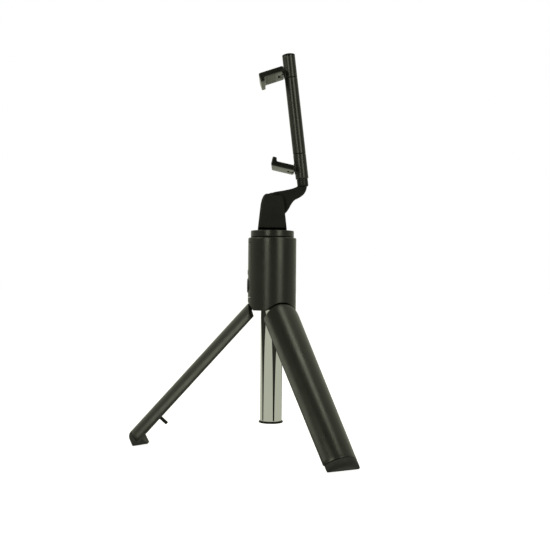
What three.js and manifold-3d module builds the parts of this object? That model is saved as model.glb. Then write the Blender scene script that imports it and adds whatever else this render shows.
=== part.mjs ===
// A selfie stick with tripod legs: a telescoping pole, a short round body that three leg shells fold
// against, a tilting neck and a spring-loaded phone clip. Millimetres, +Z up.
// Origin: centre of the lower face of the pole's end plug. The legs are spread and the pole is closed.
import * as THREE from 'three';
import { mergeVertices } from 'three/addons/utils/BufferGeometryUtils.js';
import Module from 'manifold-3d';

const wasm = await Module();
wasm.setup();

// ---- driving dimensions ----
const GAP = 0.3;                 // clearance between pieces that touch or slide
const PIN_GAP = 0.25;            // radial clearance round a pin

const BODY_R = 16.3;             // round body, outside radius
const BODY_H = 49;
const BODY_WALL = 1.8;
const SHELF_Z = 14.5;            // inner shelf that the hub is screwed to
const SHELF_T = 2;
const NOTCH_H = 5.5;             // arched notch over each leg
const NOTCH_HALF_W = 10.7;

const TUBE_R = 7.35;             // outer chrome tube
const TUBE_WALL = 0.5;
const TUBE_DROP = 74.4;          // tube below the body
const PLUG_FLANGE_R = TUBE_R + 0.85;
const PLUG_FLANGE_T = 1.1;
const SECTION_COUNT = 4;
const SECTION_STEP = 0.85;       // radius lost from one section to the next
const BUSH_H = 2.5;

const LEG_AZIMUTHS = [180, 298.6, 61.4];
const LEG_SPLAY = 42;            // degrees from the pole
const LEG_PIN_R = BODY_R - 3.7;  // hinge pin's distance from the pole axis
const LEG_PIN_Z = 2.9;           // hinge pin above the body's lower edge
const LEG_LENGTH = 122.6;        // hinge pin to the end of the foot
const LEG_HALF_ANGLE = 58.6;     // half of the leg's share of the circle
const LEG_WALL = 2;
const LEG_TOP = 1;               // outer wall starts this far below the pin
const LEG_NARROWING = 0.14;      // share of the width lost at the foot
const SOLE_H = 4.4;
const PEG_AT = LEG_LENGTH - 24.4;
const PEG_R = 1.15;
const HINGE_PIN_R = 1;
const TONGUE_HALF_W = 2.7;
const CHEEK_HALF_W = 4.6;
const CHEEK_R = 1.7;

const CAP_R = BODY_R - 1.7;
const CAP_H = 4.4;
const YOKE_HALF_W = 9.7;
const YOKE_HALF_D = 8.4;
const YOKE_H = 24.3;
const YOKE_FLOOR = 5.5;
const TILT_Z = 16;               // tilt axis above the yoke's lower face
const TILT_SCREW_R = 1.5;
const NECK_BOSS_R = 9.5;         // the boss is narrower on its left, behind the yoke
const NECK_BOSS_LEFT = 7.4;
const NECK_HALF_T = 2.9;
const WASHER_T = 0.5;
const SLOT_HALF_W = NECK_HALF_T + GAP + WASHER_T + GAP;

const BAR_X = 19.9;              // foot of the clip bar, from the tilt axis
const BAR_Z = 18.9;
const BAR_LEAN = 6.78;           // degrees towards the clip's arms
const BAR_R = 4.35;
const LOWER_SLEEVE = 16.9;
const MIDDLE_TUBE = 51.7;
const UPPER_SLEEVE = 14.7;
const TOP_CAP_T = 1.4;
const ROD_R = 2.05;
const KNUCKLE_R = 3.75;
const KNUCKLE_H = 5.2;
const SWIVEL_R = 1.25;

const ARM_W = 27;
const ARM_T = 3.4;
const ARM_PIN_R = 0.75;
const ARM_PIN_HALF = 7;
const UPPER_ARM_L = 14.7;        // pin to the outer face of the lip
const LOWER_ARM_L = 13.4;
const LIP_T = 2.8;
const HEEL = 2.4;                // arm behind its pin
const LIP_H = 2.5;
const ARM_PIN_X = BAR_R + 2.55;  // arm pin from the bar's axis
const LOWER_ARM_AT = 7.4;        // arm pins along the bar
const LOWER_ARM_TILT = 19.5;
const UPPER_ARM_TILT = 11.5;
const LUG_HALF_W = 3;
const LUG_R = 1.6;
const PAD_T = 0.8;

const REMOTE_HALF_W = 8.6;
const REMOTE_LOW = 8.8;
const REMOTE_H = 36.4;
const REMOTE_BACK = BODY_R - 6.4;  // back of the remote from the pole axis
const REMOTE_WALL = 1.3;
const BUTTON_R = 5;
const BUTTON_Z = 16.5;
const BUTTON_PROUD = 0.4;
const LENS_R = 2;
const LENS_Z = 25.6;

// ---- places worked out from them ----
const BODY_Z = TUBE_DROP + GAP + PLUG_FLANGE_T;
const CAP_Z = BODY_Z + BODY_H + GAP;
const YOKE_Z = CAP_Z + CAP_H + GAP;
const TUBE_TOP = BODY_H - 5;
const BODY_INNER_R = BODY_R - BODY_WALL;
const HUB_R = BODY_INNER_R - 0.4;
const HUB_LOW = 0.8;
const LEG_INNER_R = BODY_R - LEG_WALL;
const UPPER_SLEEVE_AT = LOWER_SLEEVE + GAP + MIDDLE_TUBE + GAP;
const UPPER_ARM_AT = UPPER_SLEEVE_AT + 3.75;
const BAR_LENGTH = UPPER_SLEEVE_AT + UPPER_SLEEVE + GAP + TOP_CAP_T;
const DEG = Math.PI / 180;

// ---- finishes ----
function finish(color, roughness, metalness) {
  return new THREE.MeshStandardMaterial({ color, roughness, metalness });
}
const SATIN_BLACK = finish(0x25261f, 0.42, 0.1);
const MATTE_BLACK = finish(0x16171a, 0.65, 0);
const RUBBER = finish(0x1b1c1b, 0.85, 0);
const CHROME = finish(0xd8dadc, 0.08, 1);
const STEEL = finish(0x9a9c9e, 0.3, 1);
const GREEN_BOARD = finish(0x1f5a35, 0.5, 0);

// ---- solids ----
// A closed geometry as a solid, with its faces turned outwards.
function solid(geometry) {
  const bare = geometry.index ? geometry.toNonIndexed() : geometry.clone();
  bare.deleteAttribute('normal');
  bare.deleteAttribute('uv');
  const merged = mergeVertices(bare, 1e-5);
  const vertProperties = new Float32Array(merged.attributes.position.array);
  const triVerts = new Uint32Array(merged.index.array);
  let volume = 0;
  const at = (i) => new THREE.Vector3().fromArray(vertProperties, 3 * i);
  for (let i = 0; i < triVerts.length; i += 3) {
    const [a, b, c] = [at(triVerts[i]), at(triVerts[i + 1]), at(triVerts[i + 2])];
    volume += a.dot(b.cross(c));
  }
  if (volume < 0) triVerts.reverse();
  return new wasm.Manifold(new wasm.Mesh({ numProp: 3, vertProperties, triVerts }));
}

// The geometry of a solid.
function geometryOf(body) {
  const mesh = body.getMesh();
  const geometry = new THREE.BufferGeometry();
  geometry.setAttribute('position', new THREE.Float32BufferAttribute(mesh.vertProperties, 3));
  geometry.setIndex(new THREE.Uint32BufferAttribute(mesh.triVerts, 1));
  return geometry;
}

// A turned solid about Z from [radius, height] points.
function turned(points, segments = 32) {
  const geometry = new THREE.LatheGeometry(points.map(([r, z]) => new THREE.Vector2(r, z)), segments);
  return solid(geometry.rotateX(Math.PI / 2));
}

function disc(radius, low, high, segments = 32) {
  return turned([[0, low], [radius, low], [radius, high], [0, high]], segments);
}

function ring(outer, inner, low, high, segments = 32) {
  return turned([[inner, low], [outer, low], [outer, high], [inner, high], [inner, low]], segments);
}

function box(x0, x1, y0, y1, z0, z1) {
  const geometry = new THREE.BoxGeometry(x1 - x0, y1 - y0, z1 - z0);
  return solid(geometry.translate((x0 + x1) / 2, (y0 + y1) / 2, (z0 + z1) / 2));
}

// A flat outline in X and Y, raised along Z.
function raised(shape, low, high, options = {}) {
  const settings = { depth: high - low, bevelEnabled: false, curveSegments: 8, ...options };
  return new THREE.ExtrudeGeometry(shape, settings).translate(0, 0, low);
}

// An outline in X and Z, thickened along Y about the XZ plane.
function slab(shape, halfWidth, options = {}) {
  return solid(raised(shape, -halfWidth, halfWidth, options).rotateX(Math.PI / 2));
}

// A round bar along Y through [x, z].
function crossBar(x, z, radius, y0, y1, segments = 20) {
  const geometry = new THREE.CylinderGeometry(radius, radius, y1 - y0, segments);
  return solid(geometry.translate(x, (y0 + y1) / 2, z));
}

// A round bar along X through [y, z].
function alongX(y, z, radius, x0, x1, segments = 24) {
  const geometry = new THREE.CylinderGeometry(radius, radius, x1 - x0, segments).rotateZ(Math.PI / 2);
  return solid(geometry.translate((x0 + x1) / 2, y, z));
}

function polygon(points) {
  return new THREE.Shape(points.map(([x, y]) => new THREE.Vector2(x, y)));
}

// The solid turned about the pole axis.
function spun(body, degrees) {
  return solid(geometryOf(body).rotateZ(degrees * DEG));
}

function part(name, body, material, parent) {
  const mesh = new THREE.Mesh(geometryOf(body), material);
  mesh.name = name;
  parent.add(mesh);
  return mesh;
}

const group = new THREE.Group();
const bodyGroup = new THREE.Group();
bodyGroup.position.z = BODY_Z;
group.add(bodyGroup);

// ---- round body ----
// The arch that is cut over a leg: a flat-topped curve, pushed outwards through the wall.
function legNotch() {
  const steps = 10;
  const outline = [[-NOTCH_HALF_W, -2]];
  for (let i = 0; i <= steps; i += 1) {
    const across = -1 + (2 * i) / steps;
    outline.push([across * NOTCH_HALF_W, NOTCH_H * (1 - Math.abs(across) ** 2.4)]);
  }
  outline.push([NOTCH_HALF_W, -2]);
  const arch = raised(polygon(outline), LEG_PIN_R - CHEEK_R, BODY_R + 2);
  return solid(arch.rotateX(Math.PI / 2).rotateZ(Math.PI / 2));
}

function remoteBay() {
  const inner = REMOTE_BACK - 1.7;
  const halfWidth = REMOTE_HALF_W + GAP;
  return box(-BODY_R - 2, -inner, -halfWidth, halfWidth, REMOTE_LOW - GAP, REMOTE_LOW + REMOTE_H + GAP);
}

function housingShell() {
  const lid = 2.2;
  const rim = 1.1;
  const throat = TUBE_R + 0.45;
  let shell = turned([
    [BODY_INNER_R, 0], [BODY_R - rim, 0], [BODY_R - 0.3, 0.3], [BODY_R, rim], [BODY_R, BODY_H - rim],
    [BODY_R - 0.3, BODY_H - 0.3], [BODY_R - rim, BODY_H], [throat, BODY_H], [throat, BODY_H - lid],
    [BODY_INNER_R, BODY_H - lid], [BODY_INNER_R, SHELF_Z + SHELF_T], [throat, SHELF_Z + SHELF_T],
    [throat, SHELF_Z], [BODY_INNER_R, SHELF_Z], [BODY_INNER_R, 0],
  ], 36);
  for (const azimuth of LEG_AZIMUTHS) shell = shell.subtract(spun(legNotch(), azimuth));
  for (const place of screwPlaces()) {
    shell = shell.subtract(shifted(disc(SCREW_R + PIN_GAP, SHELF_Z - 1, SHELF_Z + SHELF_T + 1, 10), place));
  }
  return shell.subtract(remoteBay());
}

const SCREW_R = 0.95;
const SCREW_HEAD_R = 1.9;
const SCREW_CIRCLE = (TUBE_R + HUB_R) / 2;

// Three screws between the legs.
function screwPlaces() {
  return LEG_AZIMUTHS.map((azimuth) => {
    const angle = (azimuth + 180) * DEG;
    return [SCREW_CIRCLE * Math.cos(angle), SCREW_CIRCLE * Math.sin(angle), 0];
  });
}

function shifted(body, [x, y, z]) {
  return solid(geometryOf(body).translate(x, y, z));
}

// The hub: a ring round the tube with one tongue for each leg's pin.
function legHub() {
  const hubTop = SHELF_Z - GAP;
  let hub = ring(HUB_R, TUBE_R + PIN_GAP, HUB_LOW, hubTop, 30);
  const relief = box(LEG_PIN_R - CHEEK_R - GAP, BODY_R + 2, -CHEEK_HALF_W - GAP, CHEEK_HALF_W + GAP, 0, 5.4);
  const arm = box(LEG_PIN_R - 3.1, LEG_PIN_R, -TONGUE_HALF_W, TONGUE_HALF_W, LEG_PIN_Z - 2, LEG_PIN_Z + 2);
  const knuckle = crossBar(LEG_PIN_R, LEG_PIN_Z, 2, -TONGUE_HALF_W, TONGUE_HALF_W, 14);
  const tongue = arm.add(knuckle);
  const hole = crossBar(LEG_PIN_R, LEG_PIN_Z, HINGE_PIN_R + PIN_GAP, -9, 9, 12);
  for (const azimuth of LEG_AZIMUTHS) {
    hub = hub.subtract(spun(relief, azimuth)).add(spun(tongue, azimuth)).subtract(spun(hole, azimuth));
  }
  for (const place of screwPlaces()) {
    const bore = disc(SCREW_R + PIN_GAP, 0, SHELF_Z, 10).add(disc(SCREW_HEAD_R + GAP, 0, HUB_LOW + 1.9, 10));
    hub = hub.subtract(shifted(bore, place));
  }
  return hub.subtract(remoteBay());
}

function hubScrew() {
  const head = HUB_LOW + 0.3;
  return turned([
    [0, head], [SCREW_HEAD_R, head], [SCREW_HEAD_R, head + 1.3], [SCREW_R, head + 1.3],
    [SCREW_R, SHELF_Z + 1.7], [0, SHELF_Z + 1.7],
  ], 10);
}

part('housing_shell', housingShell(), SATIN_BLACK, bodyGroup);
part('leg_hub', legHub(), MATTE_BLACK, bodyGroup);
screwPlaces().forEach((place, i) => part(`hub_screw_${i + 1}`, shifted(hubScrew(), place), STEEL, bodyGroup));

// ---- pole ----
function poleEndPlug() {
  const boss = TUBE_R - TUBE_WALL - GAP;
  const edge = 0.3;
  const flange = PLUG_FLANGE_R;
  return turned([
    [0, 0], [flange - edge, 0], [flange, edge], [flange, PLUG_FLANGE_T], [boss, PLUG_FLANGE_T],
    [boss, PLUG_FLANGE_T + 3], [boss - 1.2, PLUG_FLANGE_T + 3], [boss - 1.2, 1], [0, 1],
  ]);
}

// Section i's outside radius; section 0 is the fixed outer tube.
function sectionR(i) {
  return TUBE_R - i * SECTION_STEP;
}

function sectionLow(i) {
  return -TUBE_DROP + 3.6 + 3 * i;
}

function sectionHigh(i) {
  return i === SECTION_COUNT ? BODY_H + CAP_H - 1.5 : BODY_H - 1.8 + 0.5 * i;
}

part('pole_end_plug', poleEndPlug(), MATTE_BLACK, group);
part('outer_tube', ring(TUBE_R, TUBE_R - TUBE_WALL, -TUBE_DROP, TUBE_TOP), CHROME, bodyGroup);
part('tube_gland', ring(TUBE_R, sectionR(1) + GAP, TUBE_TOP + GAP, BODY_H - 2.5), MATTE_BLACK, bodyGroup);
for (let i = 1; i <= SECTION_COUNT; i += 1) {
  const outer = sectionR(i);
  const inner = outer - TUBE_WALL;
  const low = sectionLow(i);
  part(`section_${i}`, ring(outer, inner, low, sectionHigh(i), 24), CHROME, bodyGroup);
  part(`section_bush_${i}`, ring(outer + 0.1, inner, low - GAP - BUSH_H, low - GAP, 24), MATTE_BLACK, bodyGroup);
}

// ---- legs ----
// A leg's own frame has its origin on the pin: X away from the pole when shut, Y along the pin, Z up.
function legSector(outer, inner, halfAngle, from, to, steps) {
  const outline = [];
  const pieces = 10;
  for (let i = 0; i <= pieces; i += 1) {
    const angle = halfAngle * (-1 + (2 * i) / pieces) * DEG;
    outline.push([outer * Math.cos(angle) - LEG_PIN_R, outer * Math.sin(angle)]);
  }
  for (let i = pieces; i >= 0; i -= 1) {
    const angle = halfAngle * (-1 + (2 * i) / pieces) * DEG;
    outline.push([inner * Math.cos(angle) - LEG_PIN_R, inner * Math.sin(angle)]);
  }
  return raised(polygon(outline), -to, -from, { steps });
}

// How wide the leg is at a height, as a share of its full width.
function legWidthShare(z) {
  return 1 - LEG_NARROWING * Math.min(1, Math.max(0, -z / LEG_LENGTH));
}

function narrowed(geometry) {
  const place = geometry.attributes.position;
  for (let i = 0; i < place.count; i += 1) {
    place.setY(i, place.getY(i) * legWidthShare(place.getZ(i)));
  }
  return geometry;
}

// Everything above the leg's arched top edge, which drops towards the leg's sides.
function aboveLegTop() {
  const steps = 10;
  const half = 16;
  const outline = [[-half, 8]];
  for (let i = 0; i <= steps; i += 1) {
    const y = half * (-1 + (2 * i) / steps);
    outline.push([y, -LEG_TOP - 3.5 * (Math.abs(y) / 11) ** 2.5]);
  }
  outline.push([half, 8]);
  return solid(raised(polygon(outline), -8, 8).rotateX(Math.PI / 2).rotateZ(Math.PI / 2));
}

const SOLE_TOP = LEG_LENGTH - SOLE_H;
const CHORD_X = BODY_R * Math.cos(LEG_HALF_ANGLE * DEG) - LEG_PIN_R;

// Two cheeks that carry the pin on either side of the hub's tongue.
function legCheeks() {
  const innerY = TONGUE_HALF_W + GAP;
  const web = polygon([[-CHEEK_R, 0], [CHEEK_R, 0], [LEG_INNER_R - LEG_PIN_R + 0.2, -LEG_TOP - 1],
    [LEG_INNER_R - LEG_PIN_R + 0.2, -12], [-1, -6]]);
  const cheeks = slab(web, CHEEK_HALF_W).add(crossBar(0, 0, CHEEK_R, -CHEEK_HALF_W, CHEEK_HALF_W, 14));
  return cheeks.subtract(box(-8, 8, -innerY, innerY, -14, 4));
}

function legShell() {
  const bottom = SOLE_TOP - GAP;
  const wall = solid(narrowed(legSector(BODY_R, LEG_INNER_R, LEG_HALF_ANGLE, 0, bottom, 1)));
  const toeRoom = box(-LEG_PIN_R, CHORD_X + GAP, -BODY_R, BODY_R, -LEG_LENGTH, 0);
  const bulkhead = solid(narrowed(legSector(LEG_INNER_R + 0.5, 9.5, 44, bottom - 2.2, bottom, 1)))
    .subtract(toeRoom);
  const boss = alongX(0, -PEG_AT, PEG_R + 1.4, -3.6, LEG_INNER_R - LEG_PIN_R + 0.4, 12);
  const pegHole = alongX(0, -PEG_AT, PEG_R + PIN_GAP, -5, 0.6, 12);
  const tongueRoom = crossBar(0, 0, 2.35, -TONGUE_HALF_W - GAP, TONGUE_HALF_W + GAP, 14);
  const pinHole = crossBar(0, 0, HINGE_PIN_R + PIN_GAP, -9, 9, 12);
  return wall.subtract(aboveLegTop()).add(legCheeks()).add(bulkhead).add(boss)
    .subtract(pegHole).subtract(tongueRoom).subtract(pinHole);
}

// The sole: a rounded end with a toe whose lower face lies flat on the ground when the leg is spread.
function legSole() {
  const round = 4;
  const top = SOLE_TOP - 3.2;
  const profile = [[0, LEG_LENGTH]];
  for (let i = 0; i <= 5; i += 1) {
    const angle = (i / 5) * 90 * DEG;
    profile.push([BODY_R - round + round * Math.sin(angle), LEG_LENGTH - round + round * Math.cos(angle)]);
  }
  profile.push([BODY_R, top], [0, top]);
  const block = shifted(turned(profile.map(([r, s]) => [r, -s]), 36), [-LEG_PIN_R, 0, 0]);
  const reach = 20;
  const tip = 2.2;
  const side = Math.tan(LEG_HALF_ANGLE * DEG);
  const wedge = polygon([[tip - LEG_PIN_R, -(tip - 0.9) * side], [reach - LEG_PIN_R, -(reach - 0.9) * side],
    [reach - LEG_PIN_R, (reach - 0.9) * side], [tip - LEG_PIN_R, (tip - 0.9) * side]]);
  const rise = (CHORD_X + LEG_PIN_R - tip) * Math.tan(LEG_SPLAY * DEG);
  const toeX = tip - LEG_PIN_R;
  const sideView = polygon([[8, -SOLE_TOP], [CHORD_X, -SOLE_TOP], [CHORD_X - 0.6, -SOLE_TOP + 2.6],
    [toeX, -LEG_LENGTH + rise + 1], [toeX, -LEG_LENGTH + rise], [CHORD_X, -LEG_LENGTH], [8, -LEG_LENGTH]]);
  const prism = solid(raised(wedge, -LEG_LENGTH - 1, -SOLE_TOP + 5));
  const sole = block.intersect(prism).intersect(slab(sideView, 20));
  const wallRoom = solid(legSector(BODY_R + 1, LEG_INNER_R - GAP, LEG_HALF_ANGLE, 90, SOLE_TOP, 1));
  return solid(narrowed(geometryOf(sole.subtract(wallRoom))));
}

function legPeg() {
  return alongX(0, -PEG_AT, PEG_R, 1.7 - LEG_PIN_R, 0.3, 12);
}

LEG_AZIMUTHS.forEach((azimuth, i) => {
  const turn = new THREE.Group();
  turn.rotation.z = azimuth * DEG;
  bodyGroup.add(turn);
  part(`leg_pin_${i + 1}`, crossBar(LEG_PIN_R, LEG_PIN_Z, HINGE_PIN_R, -4.4, 4.4, 12), STEEL, turn);
  const leg = new THREE.Group();
  leg.position.set(LEG_PIN_R, 0, LEG_PIN_Z);
  leg.rotation.y = -LEG_SPLAY * DEG;
  turn.add(leg);
  part(`leg_shell_${i + 1}`, legShell(), SATIN_BLACK, leg);
  part(`leg_sole_${i + 1}`, legSole(), RUBBER, leg);
  part(`leg_peg_${i + 1}`, legPeg(), MATTE_BLACK, leg);
});

// ---- remote control in the body's side ----
function remoteOutline(radius, halfWidth, back) {
  const reach = Math.asin(halfWidth / radius);
  const shape = new THREE.Shape();
  shape.moveTo(-back, -halfWidth);
  shape.lineTo(-back, halfWidth);
  shape.lineTo(-radius * Math.cos(reach), halfWidth);
  shape.absarc(0, 0, radius, Math.PI - reach, Math.PI + reach, false);
  shape.closePath();
  return shape;
}

const REMOTE_HIGH = REMOTE_LOW + REMOTE_H;
const REMOTE_INNER_R = BODY_R - REMOTE_WALL;

function remoteCover() {
  const rim = REMOTE_WALL;
  const block = solid(raised(remoteOutline(BODY_R, REMOTE_HALF_W, REMOTE_BACK), REMOTE_LOW, REMOTE_HIGH));
  const cavity = raised(remoteOutline(REMOTE_INNER_R, REMOTE_HALF_W - rim, REMOTE_BACK - 1),
    REMOTE_LOW + rim, REMOTE_HIGH - rim);
  const buttonHole = alongX(0, BUTTON_Z, BUTTON_R + GAP, -BODY_R - 1, 4 - BODY_R);
  const lensHole = alongX(0, LENS_Z, LENS_R + GAP, -BODY_R - 1, 4 - BODY_R, 24);
  return block.subtract(solid(cavity)).subtract(buttonHole).subtract(lensHole);
}

const remoteRoomW = REMOTE_HALF_W - REMOTE_WALL - GAP;
const remoteRoomLow = REMOTE_LOW + REMOTE_WALL + GAP;
const remoteRoomHigh = REMOTE_HIGH - REMOTE_WALL - GAP;
const BACK_T = 0.7;
const BOARD_X = BODY_R - 3;
const BOARD_T = 0.6;
const CELL_R = 6;

part('remote_cover', remoteCover(), SATIN_BLACK, bodyGroup);
part('remote_back', box(-REMOTE_BACK - BACK_T, -REMOTE_BACK, -remoteRoomW, remoteRoomW,
  remoteRoomLow, remoteRoomHigh), MATTE_BLACK, bodyGroup);
part('remote_board', box(-BOARD_X, -BOARD_X + BOARD_T, -remoteRoomW + 1, remoteRoomW - 1,
  remoteRoomLow, remoteRoomHigh), GREEN_BOARD, bodyGroup);
part('remote_cell', alongX(0, LENS_Z + 9, CELL_R, -BOARD_X + BOARD_T + GAP, -REMOTE_BACK - BACK_T - GAP),
  STEEL, bodyGroup);
part('shutter_button', alongX(0, BUTTON_Z, BUTTON_R, -BODY_R - BUTTON_PROUD, -BOARD_X - 0.9),
  MATTE_BLACK, bodyGroup);
part('remote_lens', alongX(0, LENS_Z, LENS_R, -BODY_R - 0.35, -BOARD_X - GAP, 24), MATTE_BLACK, bodyGroup);
part('remote_tray', box(-REMOTE_BACK + GAP, -REMOTE_BACK + 1.3, -REMOTE_HALF_W, REMOTE_HALF_W,
  REMOTE_LOW, REMOTE_HIGH), MATTE_BLACK, bodyGroup);

// ---- head cap and tilt yoke ----
const headGroup = new THREE.Group();
headGroup.position.z = CAP_Z;
group.add(headGroup);

const YOKE_SCREW_R = 1.4;

function headCap() {
  const socket = sectionR(SECTION_COUNT) + GAP;
  const socketTop = sectionHigh(SECTION_COUNT) - BODY_H;
  const edge = 0.5;
  return turned([
    [socket, 0], [CAP_R - edge, 0], [CAP_R, edge], [CAP_R, CAP_H - edge], [CAP_R - edge, CAP_H],
    [YOKE_SCREW_R + GAP, CAP_H], [YOKE_SCREW_R + GAP, socketTop], [socket, socketTop], [socket, 0],
  ], 32);
}

const yokeGroup = new THREE.Group();
yokeGroup.position.z = YOKE_Z;
group.add(yokeGroup);

// The yoke's outline seen along the tilt axis: sides that lean in, round shoulders, a nearly flat top.
function yokeOutline() {
  const shape = new THREE.Shape();
  shape.moveTo(-YOKE_HALF_W - 0.1, -3);
  shape.lineTo(-YOKE_HALF_W, 1);
  shape.lineTo(-YOKE_HALF_W + 1.7, TILT_Z + 0.6);
  shape.bezierCurveTo(-YOKE_HALF_W + 2.4, YOKE_H - 3.4, -YOKE_HALF_W + 3.6, YOKE_H, -3.6, YOKE_H);
  shape.lineTo(3.4, YOKE_H);
  shape.quadraticCurveTo(7, YOKE_H - 0.2, 7.4, YOKE_H - 3.8);
  shape.lineTo(YOKE_HALF_W, 1);
  shape.lineTo(YOKE_HALF_W + 0.1, -3);
  shape.closePath();
  return shape;
}

const NUT_R = 3.1;
const NUT_T = 2.2;
const SCREW_TOP = YOKE_HALF_D - 2.4;

function tiltYoke() {
  const bevel = 1.2;
  const options = { bevelEnabled: true, bevelThickness: bevel, bevelSize: bevel, bevelOffset: -bevel,
    bevelSegments: 1, curveSegments: 5 };
  let yoke = slab(yokeOutline(), YOKE_HALF_D - bevel, options);
  yoke = yoke.intersect(box(-20, 20, -20, 20, 0, 40));
  yoke = yoke.subtract(box(-20, 20, -SLOT_HALF_W, SLOT_HALF_W, YOKE_FLOOR, 40));
  yoke = yoke.subtract(crossBar(0, TILT_Z, TILT_SCREW_R + PIN_GAP, -YOKE_HALF_D + 1.4, 12));
  yoke = yoke.subtract(crossBar(0, TILT_Z, 3.1, SCREW_TOP - GAP, 12));
  yoke = yoke.subtract(crossBar(0, TILT_Z, NUT_R + GAP, -SLOT_HALF_W - NUT_T - GAP, -SLOT_HALF_W, 6));
  yoke = yoke.subtract(disc(YOKE_SCREW_R + PIN_GAP, -1, 5, 16));
  return yoke.subtract(disc(3, YOKE_FLOOR - 2.4, YOKE_FLOOR + 1, 24));
}

function yokeScrew() {
  const headLow = YOKE_FLOOR - 2.4 + GAP;
  return turned([
    [0, -GAP - 0.5], [YOKE_SCREW_R, -GAP - 0.5], [YOKE_SCREW_R, headLow], [2.6, headLow],
    [2.6, headLow + 1.6], [0, headLow + 1.6],
  ], 20);
}

function tiltScrew() {
  const shank = crossBar(0, TILT_Z, TILT_SCREW_R, -YOKE_HALF_D + 1.7, SCREW_TOP + 0.2);
  const head = crossBar(0, TILT_Z, 2.8, SCREW_TOP, YOKE_HALF_D - 0.5, 20);
  const drive = crossBar(0, TILT_Z, 1.3, YOKE_HALF_D - 1.6, YOKE_HALF_D, 6);
  return shank.add(head).subtract(drive);
}

function tiltNut() {
  const low = -SLOT_HALF_W - NUT_T;
  const nut = crossBar(0, TILT_Z, NUT_R, low, -SLOT_HALF_W, 6);
  return nut.subtract(crossBar(0, TILT_Z, TILT_SCREW_R + PIN_GAP, low - 1, 0));
}

function frictionWasher(side) {
  const near = side * (NECK_HALF_T + GAP);
  const far = side * (NECK_HALF_T + GAP + WASHER_T);
  const washer = crossBar(0, TILT_Z, 6.5, Math.min(near, far), Math.max(near, far), 20);
  return washer.subtract(crossBar(0, TILT_Z, TILT_SCREW_R + PIN_GAP, -9, 9));
}

part('head_cap', headCap(), SATIN_BLACK, headGroup);
part('tilt_yoke', tiltYoke(), MATTE_BLACK, yokeGroup);
part('yoke_screw', yokeScrew(), STEEL, yokeGroup);
part('tilt_screw', tiltScrew(), STEEL, yokeGroup);
part('tilt_nut', tiltNut(), STEEL, yokeGroup);
part('friction_washer_1', frictionWasher(-1), MATTE_BLACK, yokeGroup);
part('friction_washer_2', frictionWasher(1), MATTE_BLACK, yokeGroup);

// ---- neck ----
// Frame: origin on the tilt axis.
const neckGroup = new THREE.Group();
neckGroup.position.z = YOKE_Z + TILT_Z;
group.add(neckGroup);

function neckOutline() {
  const shape = new THREE.Shape();
  const low = -27 * DEG;
  shape.absellipse(0, 0, NECK_BOSS_LEFT, NECK_BOSS_R, Math.PI / 2, 1.5 * Math.PI, false, 0);
  shape.absarc(0, 0, NECK_BOSS_R, 1.5 * Math.PI, low + 2 * Math.PI, false);
  shape.bezierCurveTo(BAR_X - 8.1, BAR_Z - 20.3, BAR_X - 8, BAR_Z - 16.4, BAR_X - 4.6, BAR_Z - 13.8);
  shape.bezierCurveTo(BAR_X - 1, BAR_Z - 12, BAR_X + 2.9, BAR_Z - 10.2, BAR_X + 3.2, BAR_Z - 5);
  shape.lineTo(BAR_X - 3.2, BAR_Z - 5);
  shape.bezierCurveTo(BAR_X - 6.4, BAR_Z - 7.1, BAR_X - 11.9, BAR_Z - 7.7, 1, NECK_BOSS_R + 0.4);
  return shape;
}

// Turned about the bar's axis, from its foot.
function leaning(body) {
  return solid(geometryOf(body).rotateY(-BAR_LEAN * DEG).translate(BAR_X, 0, BAR_Z));
}

function neckBracket() {
  const bevel = 0.6;
  const options = { bevelEnabled: true, bevelThickness: bevel, bevelSize: bevel, bevelOffset: -bevel,
    bevelSegments: 1, curveSegments: 6 };
  const plate = slab(neckOutline(), NECK_HALF_T - bevel, options);
  const knuckle = turned([[0, -KNUCKLE_H], [KNUCKLE_R - 0.6, -KNUCKLE_H], [KNUCKLE_R, -KNUCKLE_H + 0.8],
    [KNUCKLE_R, 0], [0, 0]], 24);
  const screwHole = disc(SWIVEL_R + PIN_GAP, -4.6, 1, 16);
  const pivotHole = crossBar(0, 0, TILT_SCREW_R + PIN_GAP, -9, 9);
  return plate.add(leaning(knuckle)).subtract(leaning(screwHole)).subtract(pivotHole);
}

part('neck_bracket', neckBracket(), MATTE_BLACK, neckGroup);

// ---- phone clip ----
// Frame: origin at the foot of the bar, Z along it, arms towards -X.
const clipGroup = new THREE.Group();
clipGroup.position.set(BAR_X, 0, YOKE_Z + TILT_Z + BAR_Z);
clipGroup.rotation.y = -BAR_LEAN * DEG;
group.add(clipGroup);

const SLEEVE_BORE = ROD_R + 1;
const SLEEVE_FLOOR = 2.3;

function swivelScrew() {
  const head = GAP + SLEEVE_FLOOR + GAP;
  return turned([[0, -4.3], [SWIVEL_R, -4.3], [SWIVEL_R, head], [2.4, head], [2.4, head + 1.8],
    [0, head + 1.8]], 20);
}

// The lug on a sleeve that an arm hinges on.
function armLug(at) {
  const pad = box(-BAR_R - 0.25, -BAR_R + 0.8, -LUG_HALF_W, LUG_HALF_W, at - 3.5, at + 3.5);
  const tongue = box(-ARM_PIN_X, -BAR_R + 0.8, -LUG_HALF_W, LUG_HALF_W, at - LUG_R, at + LUG_R);
  const knuckle = crossBar(-ARM_PIN_X, at, LUG_R, -LUG_HALF_W, LUG_HALF_W, 14);
  return pad.add(tongue).add(knuckle).subtract(crossBar(-ARM_PIN_X, at, ARM_PIN_R + PIN_GAP, -9, 9, 12));
}

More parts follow.
